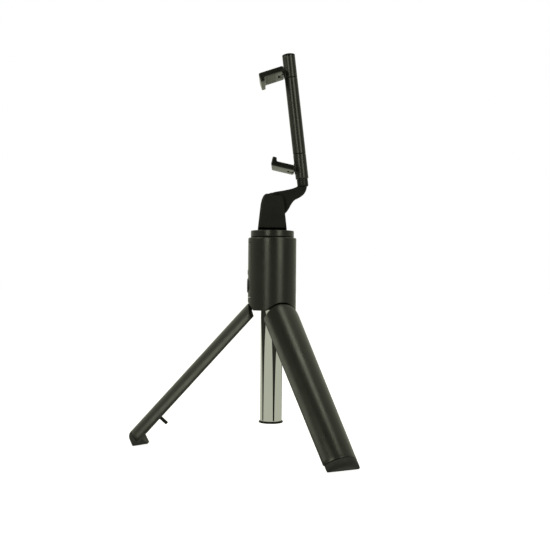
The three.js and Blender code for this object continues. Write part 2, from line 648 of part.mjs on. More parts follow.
function lowerSleeve() {
  const edge = 0.3;
  const tube = turned([
    [SWIVEL_R + PIN_GAP, GAP], [BAR_R - edge, GAP], [BAR_R, GAP + edge], [BAR_R, LOWER_SLEEVE - edge],
    [BAR_R - edge, LOWER_SLEEVE], [SLEEVE_BORE, LOWER_SLEEVE], [SLEEVE_BORE, GAP + SLEEVE_FLOOR],
    [SWIVEL_R + PIN_GAP, GAP + SLEEVE_FLOOR], [SWIVEL_R + PIN_GAP, GAP],
  ], 24);
  return tube.add(armLug(LOWER_ARM_AT)).subtract(disc(SLEEVE_BORE, GAP + SLEEVE_FLOOR, LOWER_SLEEVE + 1, 24));
}

function middleTube() {
  const low = LOWER_SLEEVE + GAP;
  const high = low + MIDDLE_TUBE;
  const spigot = SLEEVE_BORE - GAP;
  const bore = ROD_R + GAP;
  const edge = 0.3;
  return turned([
    [bore, low - 6], [spigot, low - 6], [spigot, low], [BAR_R - edge, low], [BAR_R, low + edge],
    [BAR_R, high - edge], [BAR_R - edge, high], [bore, high], [bore, low - 6],
  ], 24);
}

const ROD_LOW = 8;
const ROD_HIGH = UPPER_SLEEVE_AT + 8;

function clipRod() {
  const bore = ROD_R - 0.55;
  return turned([
    [bore, ROD_LOW], [ROD_R, ROD_LOW], [ROD_R, ROD_HIGH], [0, ROD_HIGH], [0, ROD_HIGH - 1.2],
    [bore, ROD_HIGH - 1.2], [bore, ROD_LOW],
  ], 24);
}

function upperSleeve() {
  const low = UPPER_SLEEVE_AT;
  const high = low + UPPER_SLEEVE;
  const edge = 0.3;
  const bore = ROD_R + GAP;
  const tube = turned([
    [bore, low], [BAR_R - edge, low], [BAR_R, low + edge], [BAR_R, high], [SLEEVE_BORE, high],
    [SLEEVE_BORE, ROD_HIGH + GAP], [bore, ROD_HIGH + GAP], [bore, low],
  ], 24);
  return tube.add(armLug(UPPER_ARM_AT)).subtract(disc(bore, low - 1, ROD_HIGH + 1, 24));
}

function topCap() {
  const low = BAR_LENGTH - TOP_CAP_T;
  const plug = SLEEVE_BORE - GAP;
  return turned([
    [0, low - 3], [plug, low - 3], [plug, low], [BAR_R, low], [BAR_R, low + 0.5], [BAR_R - 0.5, low + 1],
    [BAR_R - 1.6, BAR_LENGTH - 0.1], [0, BAR_LENGTH],
  ], 24);
}

// An arm's own frame has its origin on its pin: X along the arm, Z towards the other arm.
function armOutline(length) {
  const half = ARM_T / 2;
  const corner = 1.2;
  const shape = new THREE.Shape();
  shape.moveTo(1.4 - HEEL, -half);
  shape.lineTo(length - corner, -half);
  shape.quadraticCurveTo(length, -half, length, -half + corner);
  shape.lineTo(length, half + LIP_H - 0.6);
  shape.quadraticCurveTo(length, half + LIP_H, length - 0.7, half + LIP_H);
  shape.lineTo(length - LIP_T + 0.6, half + LIP_H);
  shape.quadraticCurveTo(length - LIP_T, half + LIP_H, length - LIP_T, half + LIP_H - 0.6);
  shape.lineTo(length - LIP_T, half + 0.3);
  shape.lineTo(length - LIP_T - 0.5, half);
  shape.lineTo(1.4 - HEEL, half);
  shape.quadraticCurveTo(-HEEL, half, -HEEL, half - 1.4);
  shape.lineTo(-HEEL, 1.4 - half);
  shape.quadraticCurveTo(-HEEL, -half, 1.4 - HEEL, -half);
  return shape;
}

const PAD_FROM = 3.4;
const PAD_HALF_W = ARM_W / 2 - 2;

function padEnd(length) {
  return length - LIP_T - 0.8;
}

function clampArm(length) {
  const half = ARM_T / 2;
  const room = LUG_HALF_W + GAP;
  const arm = slab(armOutline(length), ARM_W / 2, { curveSegments: 4 });
  const fork = box(-HEEL - 1, LUG_R + 0.5, -room, room, -half - 1, half + 1);
  const pinHole = crossBar(0, 0, ARM_PIN_R + PIN_GAP, -ARM_PIN_HALF - 0.3, ARM_PIN_HALF + 0.3, 12);
  const padBed = box(PAD_FROM - GAP, padEnd(length) + GAP, -PAD_HALF_W - GAP, PAD_HALF_W + GAP, half - PAD_T,
    half + 1);
  return arm.subtract(fork).subtract(pinHole).subtract(padBed);
}

// A rubber pad with ribs across the arm.
function armPad(length) {
  const low = ARM_T / 2 - PAD_T + GAP;
  let pad = box(PAD_FROM, padEnd(length), -PAD_HALF_W, PAD_HALF_W, low, low + PAD_T - GAP);
  const pitch = 1.6;
  for (let x = PAD_FROM + 0.6; x < padEnd(length) - 0.9; x += pitch) {
    pad = pad.add(box(x, x + 0.8, -PAD_HALF_W + 0.5, PAD_HALF_W - 0.5, low + 0.2, low + PAD_T));
  }
  return pad;
}

// direction is 1 for the lower arm and -1 for the upper one.
function addArm(name, at, length, tilt, direction) {
  part(`${name}_pin`, crossBar(-ARM_PIN_X, at, ARM_PIN_R, -ARM_PIN_HALF, ARM_PIN_HALF, 12), STEEL,
    clipGroup);
  const arm = new THREE.Group();
  arm.position.set(-ARM_PIN_X, 0, at);
  const facing = direction > 0 ? [0, 0, Math.PI] : [0, Math.PI, 0];
  const base = new THREE.Matrix4().makeRotationFromEuler(new THREE.Euler(...facing));
  const lean = new THREE.Matrix4().makeRotationY(direction * tilt * DEG);
  arm.quaternion.setFromRotationMatrix(lean.multiply(base));
  clipGroup.add(arm);
  part(name, clampArm(length), MATTE_BLACK, arm);
  part(`${name}_pad`, armPad(length), RUBBER, arm);
}

part('swivel_screw', swivelScrew(), STEEL, clipGroup);
part('lower_sleeve', lowerSleeve(), SATIN_BLACK, clipGroup);
part('middle_tube', middleTube(), SATIN_BLACK, clipGroup);
part('clip_rod', clipRod(), STEEL, clipGroup);
part('clip_spring', disc(1.1, 5.4, ROD_HIGH - 1.5, 12), STEEL, clipGroup);
part('upper_sleeve', upperSleeve(), SATIN_BLACK, clipGroup);
part('clip_top_cap', topCap(), MATTE_BLACK, clipGroup);
addArm('lower_arm', LOWER_ARM_AT, LOWER_ARM_L, LOWER_ARM_TILT, 1);
addArm('upper_arm', UPPER_ARM_AT, UPPER_ARM_L, UPPER_ARM_TILT, -1);

export default group;
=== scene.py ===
"""A selfie stick on three fold-out legs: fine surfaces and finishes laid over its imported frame."""

import math

import bmesh
import bpy
import numpy as np
from mathutils import Matrix, Vector


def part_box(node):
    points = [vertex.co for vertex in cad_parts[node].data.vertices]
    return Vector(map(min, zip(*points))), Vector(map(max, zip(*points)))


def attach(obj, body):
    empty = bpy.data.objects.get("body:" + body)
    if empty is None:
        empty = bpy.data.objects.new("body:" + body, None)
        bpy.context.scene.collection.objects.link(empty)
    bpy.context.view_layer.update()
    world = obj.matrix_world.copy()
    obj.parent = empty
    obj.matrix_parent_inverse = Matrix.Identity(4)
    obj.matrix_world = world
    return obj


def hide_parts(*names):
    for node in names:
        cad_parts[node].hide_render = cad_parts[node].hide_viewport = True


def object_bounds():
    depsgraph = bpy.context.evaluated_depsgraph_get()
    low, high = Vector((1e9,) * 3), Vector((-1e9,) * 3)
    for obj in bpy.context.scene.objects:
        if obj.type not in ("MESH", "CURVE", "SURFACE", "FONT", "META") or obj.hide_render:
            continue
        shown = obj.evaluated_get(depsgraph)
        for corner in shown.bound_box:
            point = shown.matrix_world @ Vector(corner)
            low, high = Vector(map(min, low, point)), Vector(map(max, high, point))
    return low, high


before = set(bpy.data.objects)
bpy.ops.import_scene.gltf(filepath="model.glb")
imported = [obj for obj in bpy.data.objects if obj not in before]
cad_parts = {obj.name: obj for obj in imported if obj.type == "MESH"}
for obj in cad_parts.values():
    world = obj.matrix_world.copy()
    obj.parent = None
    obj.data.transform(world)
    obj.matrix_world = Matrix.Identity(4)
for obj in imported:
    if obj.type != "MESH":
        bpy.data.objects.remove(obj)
cad_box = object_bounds()

# ---- Studio ----
# A pale table under a white sky, with two tall soft lights in front of the stick, two small ones high at
# its sides and a broad one overhead. The room is dimmer towards the viewer: black parts get dark bands.
MM = 0.001
EYE = (0.0089, -0.5936, 0.0946)
HEADING = -0.0116
PITCH = 0.0085
ROLL = 0.0086
LENS_LENGTH = 57.34
ROOM_TINT = (0.96, 1.0, 0.78)
LIGHTS_AIM_Z = 0.11
SKY_STOPS = [(0.0, 0.015), (0.12, 0.04), (0.38, 0.20), (0.62, 0.5), (1.0, 0.7)]
FLOOR_GLOW = 0.46
FLOOR_WHITE = 0.86
FLOOR_R = 9
FLOOR_DROP = 0.0004

camera = bpy.data.objects.new("camera", bpy.data.cameras.new("camera"))
camera.data.lens = LENS_LENGTH
camera.data.sensor_width = 36.0
camera.data.clip_start = 0.01
camera.data.clip_end = 30.0
aim = Vector((math.sin(HEADING), math.cos(HEADING), math.tan(PITCH)))
turn = aim.to_track_quat("-Z", "Y").to_matrix().to_4x4() @ Matrix.Rotation(ROLL, 4, "Z")
camera.matrix_world = Matrix.Translation(EYE) @ turn
bpy.context.collection.objects.link(camera)
bpy.context.scene.camera = camera
bpy.context.scene.view_settings.view_transform = "Standard"


def soft_light(name, azimuth, distance, height, size, power):
    """A rectangular light standing at an azimuth (0 is towards the viewer, positive to the right)."""
    lamp = bpy.data.lights.new(name, "AREA")
    lamp.shape = "RECTANGLE"
    lamp.size, lamp.size_y = size
    lamp.energy = power
    lamp.color = ROOM_TINT
    holder = bpy.data.objects.new(name, lamp)
    angle = math.radians(azimuth)
    holder.location = (distance * math.sin(angle), -distance * math.cos(angle), height)
    towards = Vector((0, 0, LIGHTS_AIM_Z)) - holder.location
    holder.rotation_euler = towards.to_track_quat("-Z", "Y").to_euler()
    holder.visible_camera = False
    bpy.context.collection.objects.link(holder)


soft_light("left_strip", -24, 0.80, 0.40, (0.24, 0.70), 1.9)
soft_light("right_strip", 39, 0.80, 0.40, (0.30, 0.70), 2.3)
soft_light("right_high", 60, 0.375, 0.98, (0.26, 0.26), 1.1)
soft_light("left_high", -72, 0.85, 0.58, (0.40, 0.40), 1.5)
soft_light("overhead", 165, 0.60, 1.10, (0.8, 0.8), 2.0)


def wire(tree, source, target):
    tree.links.new(source, target)


def fresh(tree, kind, inputs=None, **attributes):
    """A new shader node with its attributes set, and then the values of its inputs."""
    node = tree.nodes.new("ShaderNode" + kind)
    for label, value in attributes.items():
        setattr(node, label, value)
    for label, value in (inputs or {}).items():
        node.inputs[label].default_value = value
    return node


def studio_sky():
    """White to the eye; in reflections, the brightness rises from the viewer's side to the back."""
    world = bpy.data.worlds.new("studio")
    bpy.context.scene.world = world
    world.use_nodes = True
    tree = world.node_tree
    tree.nodes.clear()
    place = fresh(tree, "TexCoord")
    parts = fresh(tree, "SeparateXYZ")
    lift = fresh(tree, "Math", {1: 0.5, 2: 0.5}, operation="MULTIPLY_ADD")
    ramp = fresh(tree, "ValToRGB")
    ramp.color_ramp.interpolation = "EASE"
    elements = ramp.color_ramp.elements
    elements[0].position = SKY_STOPS[0][0]
    elements[1].position = SKY_STOPS[-1][0]
    for where, _ in SKY_STOPS[1:-1]:
        elements.new(where)
    for element, (_, level) in zip(elements, SKY_STOPS):
        element.color = (*(level * c for c in ROOM_TINT), 1)
    seen = fresh(tree, "LightPath")
    sky = fresh(tree, "Background")
    white = fresh(tree, "Background", {"Color": (1, 1, 1, 1), "Strength": 1.0})
    pick = fresh(tree, "MixShader")
    out = fresh(tree, "OutputWorld")
    wire(tree, place.outputs["Generated"], parts.inputs[0])
    wire(tree, parts.outputs["Y"], lift.inputs[0])
    wire(tree, lift.outputs[0], ramp.inputs[0])
    wire(tree, ramp.outputs["Color"], sky.inputs["Color"])
    wire(tree, seen.outputs["Is Camera Ray"], pick.inputs[0])
    wire(tree, sky.outputs[0], pick.inputs[1])
    wire(tree, white.outputs[0], pick.inputs[2])
    wire(tree, pick.outputs[0], out.inputs["Surface"])


studio_sky()


def pale_floor():
    """A round table top just under the lowest foot, bright enough to melt into the sky at its rim."""
    ground = cad_box[0].z - FLOOR_DROP
    angle = np.linspace(0, 2 * np.pi, 96, endpoint=False)
    rim = np.stack([FLOOR_R * np.cos(angle), FLOOR_R * np.sin(angle), np.full(96, ground)], 1)
    mesh = bpy.data.meshes.new("floor")
    mesh.from_pydata(rim.tolist(), [], [list(range(96))])
    floor = bpy.data.objects.new("floor", mesh)
    bpy.context.collection.objects.link(floor)
    material = bpy.data.materials.new("pale_table")
    material.use_nodes = True
    tree = material.node_tree
    shader = tree.nodes["Principled BSDF"]
    shader.inputs["Base Color"].default_value = (0.62, 0.62, 0.62, 1)
    shader.inputs["Roughness"].default_value = 0.9
    shader.inputs["Emission Color"].default_value = (1, 1, 1, 1)
    shader.inputs["Emission Strength"].default_value = FLOOR_WHITE
    mirrored = fresh(tree, "Emission", {"Color": (*ROOM_TINT, 1), "Strength": FLOOR_GLOW})
    seen = fresh(tree, "LightPath")
    pick = fresh(tree, "MixShader")
    wire(tree, seen.outputs["Is Camera Ray"], pick.inputs[0])
    wire(tree, mirrored.outputs[0], pick.inputs[1])
    wire(tree, shader.outputs[0], pick.inputs[2])
    wire(tree, pick.outputs[0], tree.nodes["Material Output"].inputs["Surface"])
    mesh.materials.append(material)


pale_floor()

# ---- Housing ----
# The round body that the legs close up to: one injection-moulded shell of satin black plastic with a
# lid, an arch over each leg and a bay in its side for the remote, screwed down onto the hub.
BODY_R = 16.3
BODY_WALL = 1.8
BODY_INNER_R = BODY_R - BODY_WALL
BODY_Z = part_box("housing_shell")[0].z / MM
BODY_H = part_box("housing_shell")[1].z / MM - BODY_Z
LEG_AZIMUTHS = (180, 298.6, 61.4)
GAP = 0.3
WIDE_FACE = 12
SHARP_EDGE = 38


def quads(rows, columns, wrap_rows=False, wrap_columns=True):
    """Faces of a grid of rows x columns points, numbered row by row; a wrapped side joins its ends."""
    down = np.arange(rows if wrap_rows else rows - 1)[:, None]
    across = np.arange(columns if wrap_columns else columns - 1)[None, :]
    below, right = (down + 1) % rows, (across + 1) % columns
    corners = [down * columns + across, down * columns + right, below * columns + right,
               below * columns + across]
    shape = np.broadcast(down, across).shape
    return np.stack([np.broadcast_to(corner, shape) for corner in corners], -1).reshape(-1, 4)


def filleted(corners, radius, steps=6):
    """A closed outline whose corners are arcs: each runs from one side to the next at a radius,
    held to under half of its shorter side. radius is one number, or one for each corner."""
    corner = np.asarray(corners, float)
    before, after = np.roll(corner, 1, 0) - corner, np.roll(corner, -1, 0) - corner
    long_b, long_a = np.linalg.norm(before, axis=1), np.linalg.norm(after, axis=1)
    before, after = before / long_b[:, None], after / long_a[:, None]
    half = np.arccos(np.clip((before * after).sum(1), -1, 1)) / 2
    room = 0.49 * np.minimum(long_b, long_a)
    reach = np.minimum(np.broadcast_to(radius, len(corner)) / np.tan(np.maximum(half, 1e-3)), room)
    share = np.linspace(0, 1, steps + 1)[None, :, None]
    start, stop = corner + before * reach[:, None], corner + after * reach[:, None]
    curve = (1 - share) ** 2 * start[:, None] + 2 * share * (1 - share) * corner[:, None]
    return (curve + share ** 2 * stop[:, None]).reshape(-1, 2)


def supported(outline, reach=0.5):
    """A closed outline with a point added near both ends of each side longer than four reaches."""
    outline = np.asarray(outline, float)
    points = []
    for here, there in zip(outline, np.roll(outline, -1, 0)):
        length = np.linalg.norm(there - here)
        points.append(here)
        if length > 4 * reach:
            points += [here + (there - here) * reach / length, there - (there - here) * reach / length]
    return np.array(points)


def spun_profile(profile, segments=128, start=0.0, stop=360.0):
    """A closed (radius, height) profile carried round Z; a part turn gets a face at each end."""
    profile = supported(profile)
    whole = abs(stop - start) >= 360
    angle = np.radians(np.linspace(start, stop, segments, endpoint=not whole))
    x = profile[:, 0, None] * np.cos(angle)
    y = profile[:, 0, None] * np.sin(angle)
    z = np.broadcast_to(profile[:, 1, None], x.shape)
    points = np.stack([x, y, z], -1).transpose(1, 0, 2)
    faces = quads(len(angle), len(profile), wrap_rows=whole).tolist()
    if not whole:
        last = (len(angle) - 1) * len(profile)
        faces += [list(range(len(profile))), list(range(last, last + len(profile)))]
    return points.reshape(-1, 3), faces


def joined(*bodies):
    """Several closed bodies as one set of points and faces."""
    points, faces, shift = [], [], 0
    for body_points, body_faces in bodies:
        points.append(np.asarray(body_points, float))
        faces += [[corner + shift for corner in face] for face in body_faces]
        shift += len(body_points)
    return np.concatenate(points), faces


def placed(body, matrix):
    """The body's points carried by a 4 x 4 matrix in millimetres."""
    points, faces = body
    m = np.array(matrix)
    return points @ m[:3, :3].T + m[:3, 3], faces


def shift(x=0.0, y=0.0, z=0.0):
    return Matrix.Translation((x, y, z))


def rotation(degrees, axis):
    return Matrix.Rotation(math.radians(degrees), 4, axis)


def mark_edges(mesh):
    """Stores "edge" on each point: how far the surface falls away round it, which is high on rims."""
    count = len(mesh.vertices)
    place = np.empty(count * 3)
    normal = np.empty(count * 3)
    ends = np.empty(len(mesh.edges) * 2, np.int64)
    mesh.vertices.foreach_get("co", place)
    mesh.vertices.foreach_get("normal", normal)
    mesh.edges.foreach_get("vertices", ends)
    place, normal, ends = place.reshape(-1, 3), normal.reshape(-1, 3), ends.reshape(-1, 2)
    fall, met = np.zeros(count), np.zeros(count)
    for near, far in ((0, 1), (1, 0)):
        step = place[ends[:, near]] - place[ends[:, far]]
        length = np.maximum(np.linalg.norm(step, axis=1), 1e-9)
        drop = (step * normal[ends[:, near]]).sum(1) / length
        fall += np.bincount(ends[:, near], drop, count)
        met += np.bincount(ends[:, near], minlength=count)
    value = np.clip(fall / np.maximum(met, 1), 0, 1).astype(np.float32)
    mesh.attributes.new("edge", "FLOAT", "POINT").data.foreach_set("value", value)


def ring_flat_faces(mesh, reach=0.45):
    """Sets a ring just inside each big many-sided face, so that rims end close to its border."""
    work = bmesh.new()
    work.from_mesh(mesh)
    wide = [face for face in work.faces if len(face.verts) > 6 and face.calc_area() > WIDE_FACE * MM ** 2]
    bmesh.ops.inset_individual(work, faces=wide, thickness=reach * MM, use_even_offset=True)
    work.to_mesh(mesh)
    work.free()


def make_piece(name, body, material, rides, replaced, rounding=0.0, sharp=32.0):
    """A named piece in the row frame: its points merged, faces turned outwards, sharp edges rounded."""
    points, faces = body
    mesh = bpy.data.meshes.new(name)
    mesh.from_pydata((points * MM).tolist(), [], [list(face) for face in faces])
    work = bmesh.new()
    work.from_mesh(mesh)
    bmesh.ops.remove_doubles(work, verts=work.verts, dist=1e-7)
    bmesh.ops.dissolve_degenerate(work, edges=work.edges, dist=1e-8)
    bmesh.ops.recalc_face_normals(work, faces=work.faces)
    work.to_mesh(mesh)
    work.free()
    piece = bpy.data.objects.new(name, mesh)
    bpy.context.collection.objects.link(piece)
    mesh.shade_smooth()
    if rounding:
        bevel = piece.modifiers.new("rounding", "BEVEL")
        bevel.width = rounding * MM
        bevel.segments = 3
        bevel.limit_method = "ANGLE"
        bevel.angle_limit = math.radians(sharp)
        bevel.use_clamp_overlap = True
        bevel.harden_normals = False
        bpy.context.view_layer.update()
        graph = bpy.context.evaluated_depsgraph_get()
        done = bpy.data.meshes.new_from_object(piece.evaluated_get(graph))
        piece.modifiers.clear()
        piece.data = done
        done.name = name
        bpy.data.meshes.remove(mesh)
        mesh = done
        mesh.shade_smooth()
    ring_flat_faces(mesh)
    mesh.set_sharp_from_angle(angle=math.radians(SHARP_EDGE))
    mark_edges(mesh)
    mesh.materials.clear()
    mesh.materials.append(material)
    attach(piece, rides)
    if replaced:
        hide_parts(*replaced)
    return piece


def moulded_detail():
    """Group: fine spark-eroded grain, softer handling patches and lighter rims of a moulded surface; the rim
    colour is partly rubbed wear and partly a painted highlight.
    """
    group = bpy.data.node_groups.new("moulded_detail", "ShaderNodeTree")
    face = group.interface
    for label, value in (("Grain Scale", 4200.0), ("Grain Depth", 1.0), ("Low Roughness", 0.3),
                         ("High Roughness", 0.45), ("Wear And Painted Highlight", 0.5)):
        face.new_socket(label, in_out="INPUT", socket_type="NodeSocketFloat").default_value = value
    for label in ("Base", "Wear And Painted Highlight Colour"):
        face.new_socket(label, in_out="INPUT", socket_type="NodeSocketColor")
    face.new_socket("Color", in_out="OUTPUT", socket_type="NodeSocketColor")
    face.new_socket("Roughness", in_out="OUTPUT", socket_type="NodeSocketFloat")
    face.new_socket("Height", in_out="OUTPUT", socket_type="NodeSocketFloat")
    given = group.nodes.new("NodeGroupInput")
    given_out = group.nodes.new("NodeGroupOutput")
    place = fresh(group, "TexCoord")
    grain = fresh(group, "TexNoise", {"Detail": 3.0})
    patch = fresh(group, "TexNoise", {"Scale": 95.0, "Detail": 5.0, "Roughness": 0.6})
    nick = fresh(group, "TexNoise", {"Scale": 900.0, "Detail": 2.0})
    rim = fresh(group, "Attribute", attribute_name="edge")
    rim_range = fresh(group, "MapRange", {"From Min": 0.10, "From Max": 0.42})
    nick_range = fresh(group, "MapRange", {"From Min": 0.42, "From Max": 0.62})
    patch_range = fresh(group, "MapRange", {"From Min": 0.32, "From Max": 0.68})
    # Painted highlight and wear: on convex rims, broken up by a patchy noise, the base colour is mixed
    # towards the lighter rim colour.
    wear_and_painted_highlight_mask = fresh(group, "Math", operation="MULTIPLY")
    wear_and_painted_highlight = fresh(group, "Math", operation="MULTIPLY")
    tint = fresh(group, "Mix", data_type="RGBA")
    lift = fresh(group, "Math", operation="MULTIPLY")
    wire(group, place.outputs["Object"], grain.inputs["Vector"])
    wire(group, place.outputs["Object"], patch.inputs["Vector"])
    wire(group, place.outputs["Object"], nick.inputs["Vector"])
    wire(group, given.outputs["Grain Scale"], grain.inputs["Scale"])
    wire(group, patch.outputs["Fac"], patch_range.inputs["Value"])
    wire(group, given.outputs["Low Roughness"], patch_range.inputs["To Min"])
    wire(group, given.outputs["High Roughness"], patch_range.inputs["To Max"])
    wire(group, rim.outputs["Fac"], rim_range.inputs["Value"])
    wire(group, nick.outputs["Fac"], nick_range.inputs["Value"])
    wire(group, rim_range.outputs["Result"], wear_and_painted_highlight_mask.inputs[0])
    wire(group, nick_range.outputs["Result"], wear_and_painted_highlight_mask.inputs[1])
    wire(group, wear_and_painted_highlight_mask.outputs[0], wear_and_painted_highlight.inputs[0])
    wire(group, given.outputs["Wear And Painted Highlight"], wear_and_painted_highlight.inputs[1])
    wire(group, wear_and_painted_highlight.outputs[0], tint.inputs["Factor"])
    wire(group, given.outputs["Base"], tint.inputs["A"])
    wire(group, given.outputs["Wear And Painted Highlight Colour"], tint.inputs["B"])
    wire(group, grain.outputs["Fac"], lift.inputs[0])
    wire(group, given.outputs["Grain Depth"], lift.inputs[1])
    wire(group, tint.outputs["Result"], given_out.inputs["Color"])
    wire(group, patch_range.outputs["Result"], given_out.inputs["Roughness"])
    wire(group, lift.outputs[0], given_out.inputs["Height"])
    return group


MOULDED = moulded_detail()


def moulded(name, base, wear_and_painted_highlight_colour, grain, depth, rough, wear_and_painted_highlight, specular=0.5):
    """A moulded finish: base colour and a lighter rim colour (partly rubbed wear, partly a painted
    highlight), grain size and depth, roughness range over patches.
    """
    material = bpy.data.materials.new(name)
    material.use_nodes = True
    tree = material.node_tree
    shader = tree.nodes["Principled BSDF"]
    shader.inputs["Specular IOR Level"].default_value = specular
    detail = fresh(tree, "Group", node_tree=MOULDED)
    detail.inputs["Base"].default_value = (*base, 1)
    detail.inputs["Wear And Painted Highlight Colour"].default_value = (*wear_and_painted_highlight_colour, 1)
    detail.inputs["Grain Scale"].default_value = grain
    detail.inputs["Grain Depth"].default_value = depth
    detail.inputs["Low Roughness"].default_value = rough[0]
    detail.inputs["High Roughness"].default_value = rough[1]
    detail.inputs["Wear And Painted Highlight"].default_value = wear_and_painted_highlight
    bump = fresh(tree, "Bump", {"Strength": 0.35, "Distance": 0.00004})
    wire(tree, detail.outputs["Color"], shader.inputs["Base Color"])
    wire(tree, detail.outputs["Roughness"], shader.inputs["Roughness"])
    wire(tree, detail.outputs["Height"], bump.inputs["Height"])
    wire(tree, bump.outputs["Normal"], shader.inputs["Normal"])
    return material


SATIN = moulded("satin_black", (0.0080, 0.0084, 0.0060), (0.034, 0.035, 0.029), 4200, 0.4,
                (0.27, 0.34), 0.5)

NOTCH_H = 5.5
NOTCH_HALF_W = 10.7
BAY_HALF_W = 8.9
BAY_LOW = 8.5
BAY_HIGH = 45.5
THROAT = 7.8
SHELF_Z = 14.5
SHELF_T = 2
SHELF_HALF_ANGLE = 142
LID_T = 2.2
LID_ROUND = 1.1
THROAT_CHAMFER = 0.4
BAY_ROW = 9


def arch_lift(angle):
    """Height of the lower rim at each angle: an arch NOTCH_H tall over each leg and 0 between them."""
    lift = np.zeros_like(angle)
    for azimuth in LEG_AZIMUTHS:
        away = (angle - math.radians(azimuth) + np.pi) % (2 * np.pi) - np.pi
        across = np.abs(BODY_R * np.sin(away)) / NOTCH_HALF_W
        arch = NOTCH_H * (1 - np.minimum(across, 1) ** 2.4)
        lift = np.maximum(lift, np.where(np.abs(away) < np.pi / 2, arch, 0))
    return lift


def housing():
    """Wall rows run up the outside, over the lid and down the inside, at each of the columns' angles;
    a row under the bay is stretched so that the lowest one follows the arches. The bay's faces are left
    out of both walls, and reveals join the two walls round it."""
    angle = np.radians(np.linspace(0, 360, 288, endpoint=False))
    for side in (-1, 1):
        bay = math.pi + side * math.asin(BAY_HALF_W / BODY_R)
        angle[np.argmin(np.abs(angle - bay))] = bay
    wall = np.concatenate([np.linspace(0, BAY_LOW, BAY_ROW + 1), np.linspace(BAY_LOW, BAY_HIGH, 14)[1:]])
    turn_over = np.linspace(0, np.pi / 2, 9)
    lid_r = np.concatenate([BODY_R - LID_ROUND + LID_ROUND * np.cos(turn_over),
                            [THROAT + THROAT_CHAMFER, THROAT, THROAT, BODY_INNER_R]])
    lid_z = np.concatenate([BODY_H - LID_ROUND + LID_ROUND * np.sin(turn_over),
                            [BODY_H, BODY_H - THROAT_CHAMFER, BODY_H - LID_T, BODY_H - LID_T]])
    radius = np.concatenate([np.full(len(wall), BODY_R), lid_r, np.full(len(wall), BODY_INNER_R)])
    height = np.concatenate([wall, lid_z, wall[::-1]])
    lift = arch_lift(angle)[None, :]
    height = height[:, None]
    z = np.where(height < BAY_LOW, lift + height * (BAY_LOW - lift) / BAY_LOW, height)
    points = np.stack([radius[:, None] * np.cos(angle), radius[:, None] * np.sin(angle), z], -1)
    rows, columns = z.shape
    faces = quads(rows, columns, wrap_rows=True).reshape(rows, columns, 4)
    half_bay = math.asin(BAY_HALF_W / BODY_R)
    left, right = (int(np.argmin(np.abs(angle - (math.pi + side * half_bay)))) for side in (-1, 1))
    low, high = BAY_ROW, len(wall) - 1
    keep = np.ones((rows, columns), bool)
    keep[low:high, left:right] = False
    keep[rows - 1 - high:rows - 1 - low, left:right] = False

    def number(row, column):
        return row * columns + column

    across, up = np.arange(left, right), np.arange(low, high)
    reveals = [np.stack([number(row, across), number(row, across + 1), number(rows - 1 - row, across + 1),
                         number(rows - 1 - row, across)], -1) for row in (low, high)]
    reveals += [np.stack([number(up, side), number(up + 1, side), number(rows - 2 - up, side),
                          number(rows - 1 - up, side)], -1) for side in (left, right)]
    return points.reshape(-1, 3), faces[keep].tolist() + np.concatenate(reveals).tolist()


def shelf():
    """The ledge inside that the hub's screws pull up against; it stops short of the remote's bay."""
    rim, top = BODY_INNER_R + 0.3, SHELF_Z + SHELF_T
    profile = filleted([(THROAT, SHELF_Z), (rim, SHELF_Z), (rim, top), (THROAT, top)], 0.2, 2)
    return spun_profile(profile, 96, -SHELF_HALF_ANGLE, SHELF_HALF_ANGLE)


make_piece("housing", placed(joined(housing(), shelf()), shift(z=BODY_Z)), SATIN, "root",
           ["housing_shell"], 0.35)

# ---- Legs ----
# Three moulded shells that close into a tube round the pole, each about a third of it: a curved outer wall,
# two cheeks that hold a steel hinge pin, and a bulkhead over a rubber sole whose toe lies flat when spread.
LEG_SPLAY = 42
LEG_PIN_R = BODY_R - 3.7
LEG_PIN_Z = 2.9
LEG_LENGTH = 122.6
LEG_HALF_ANGLE = math.radians(58.6)
LEG_INNER_R = BODY_R - 2.0
SOLE_SEAM = LEG_LENGTH - 4.4
CHORD = BODY_R * math.cos(LEG_HALF_ANGLE)
CHEEK_R = 1.7
CHEEK_INNER, CHEEK_OUTER = 3.0, 4.6
BULKHEAD_T = 2.2
FOOT_NARROWING = 0.14
TOE_X = 2.2
SOLE_HALF_SWEEP = 55.9
PEG_AT = LEG_LENGTH - 24.4
PEG_R = 1.15

# The light rim colour paints highlights on the rims, such as the yoke's chamfers, as well as rubbed wear.
MATTE = moulded("matte_black", (0.0036, 0.0039, 0.0030), (0.06, 0.062, 0.052), 3000, 0.9,
                (0.36, 0.48), 0.8, 0.26)
RUBBER = moulded("sole_rubber", (0.0085, 0.0088, 0.0078), (0.034, 0.034, 0.031), 2600, 1.0,
                 (0.50, 0.66), 0.5, 0.4)


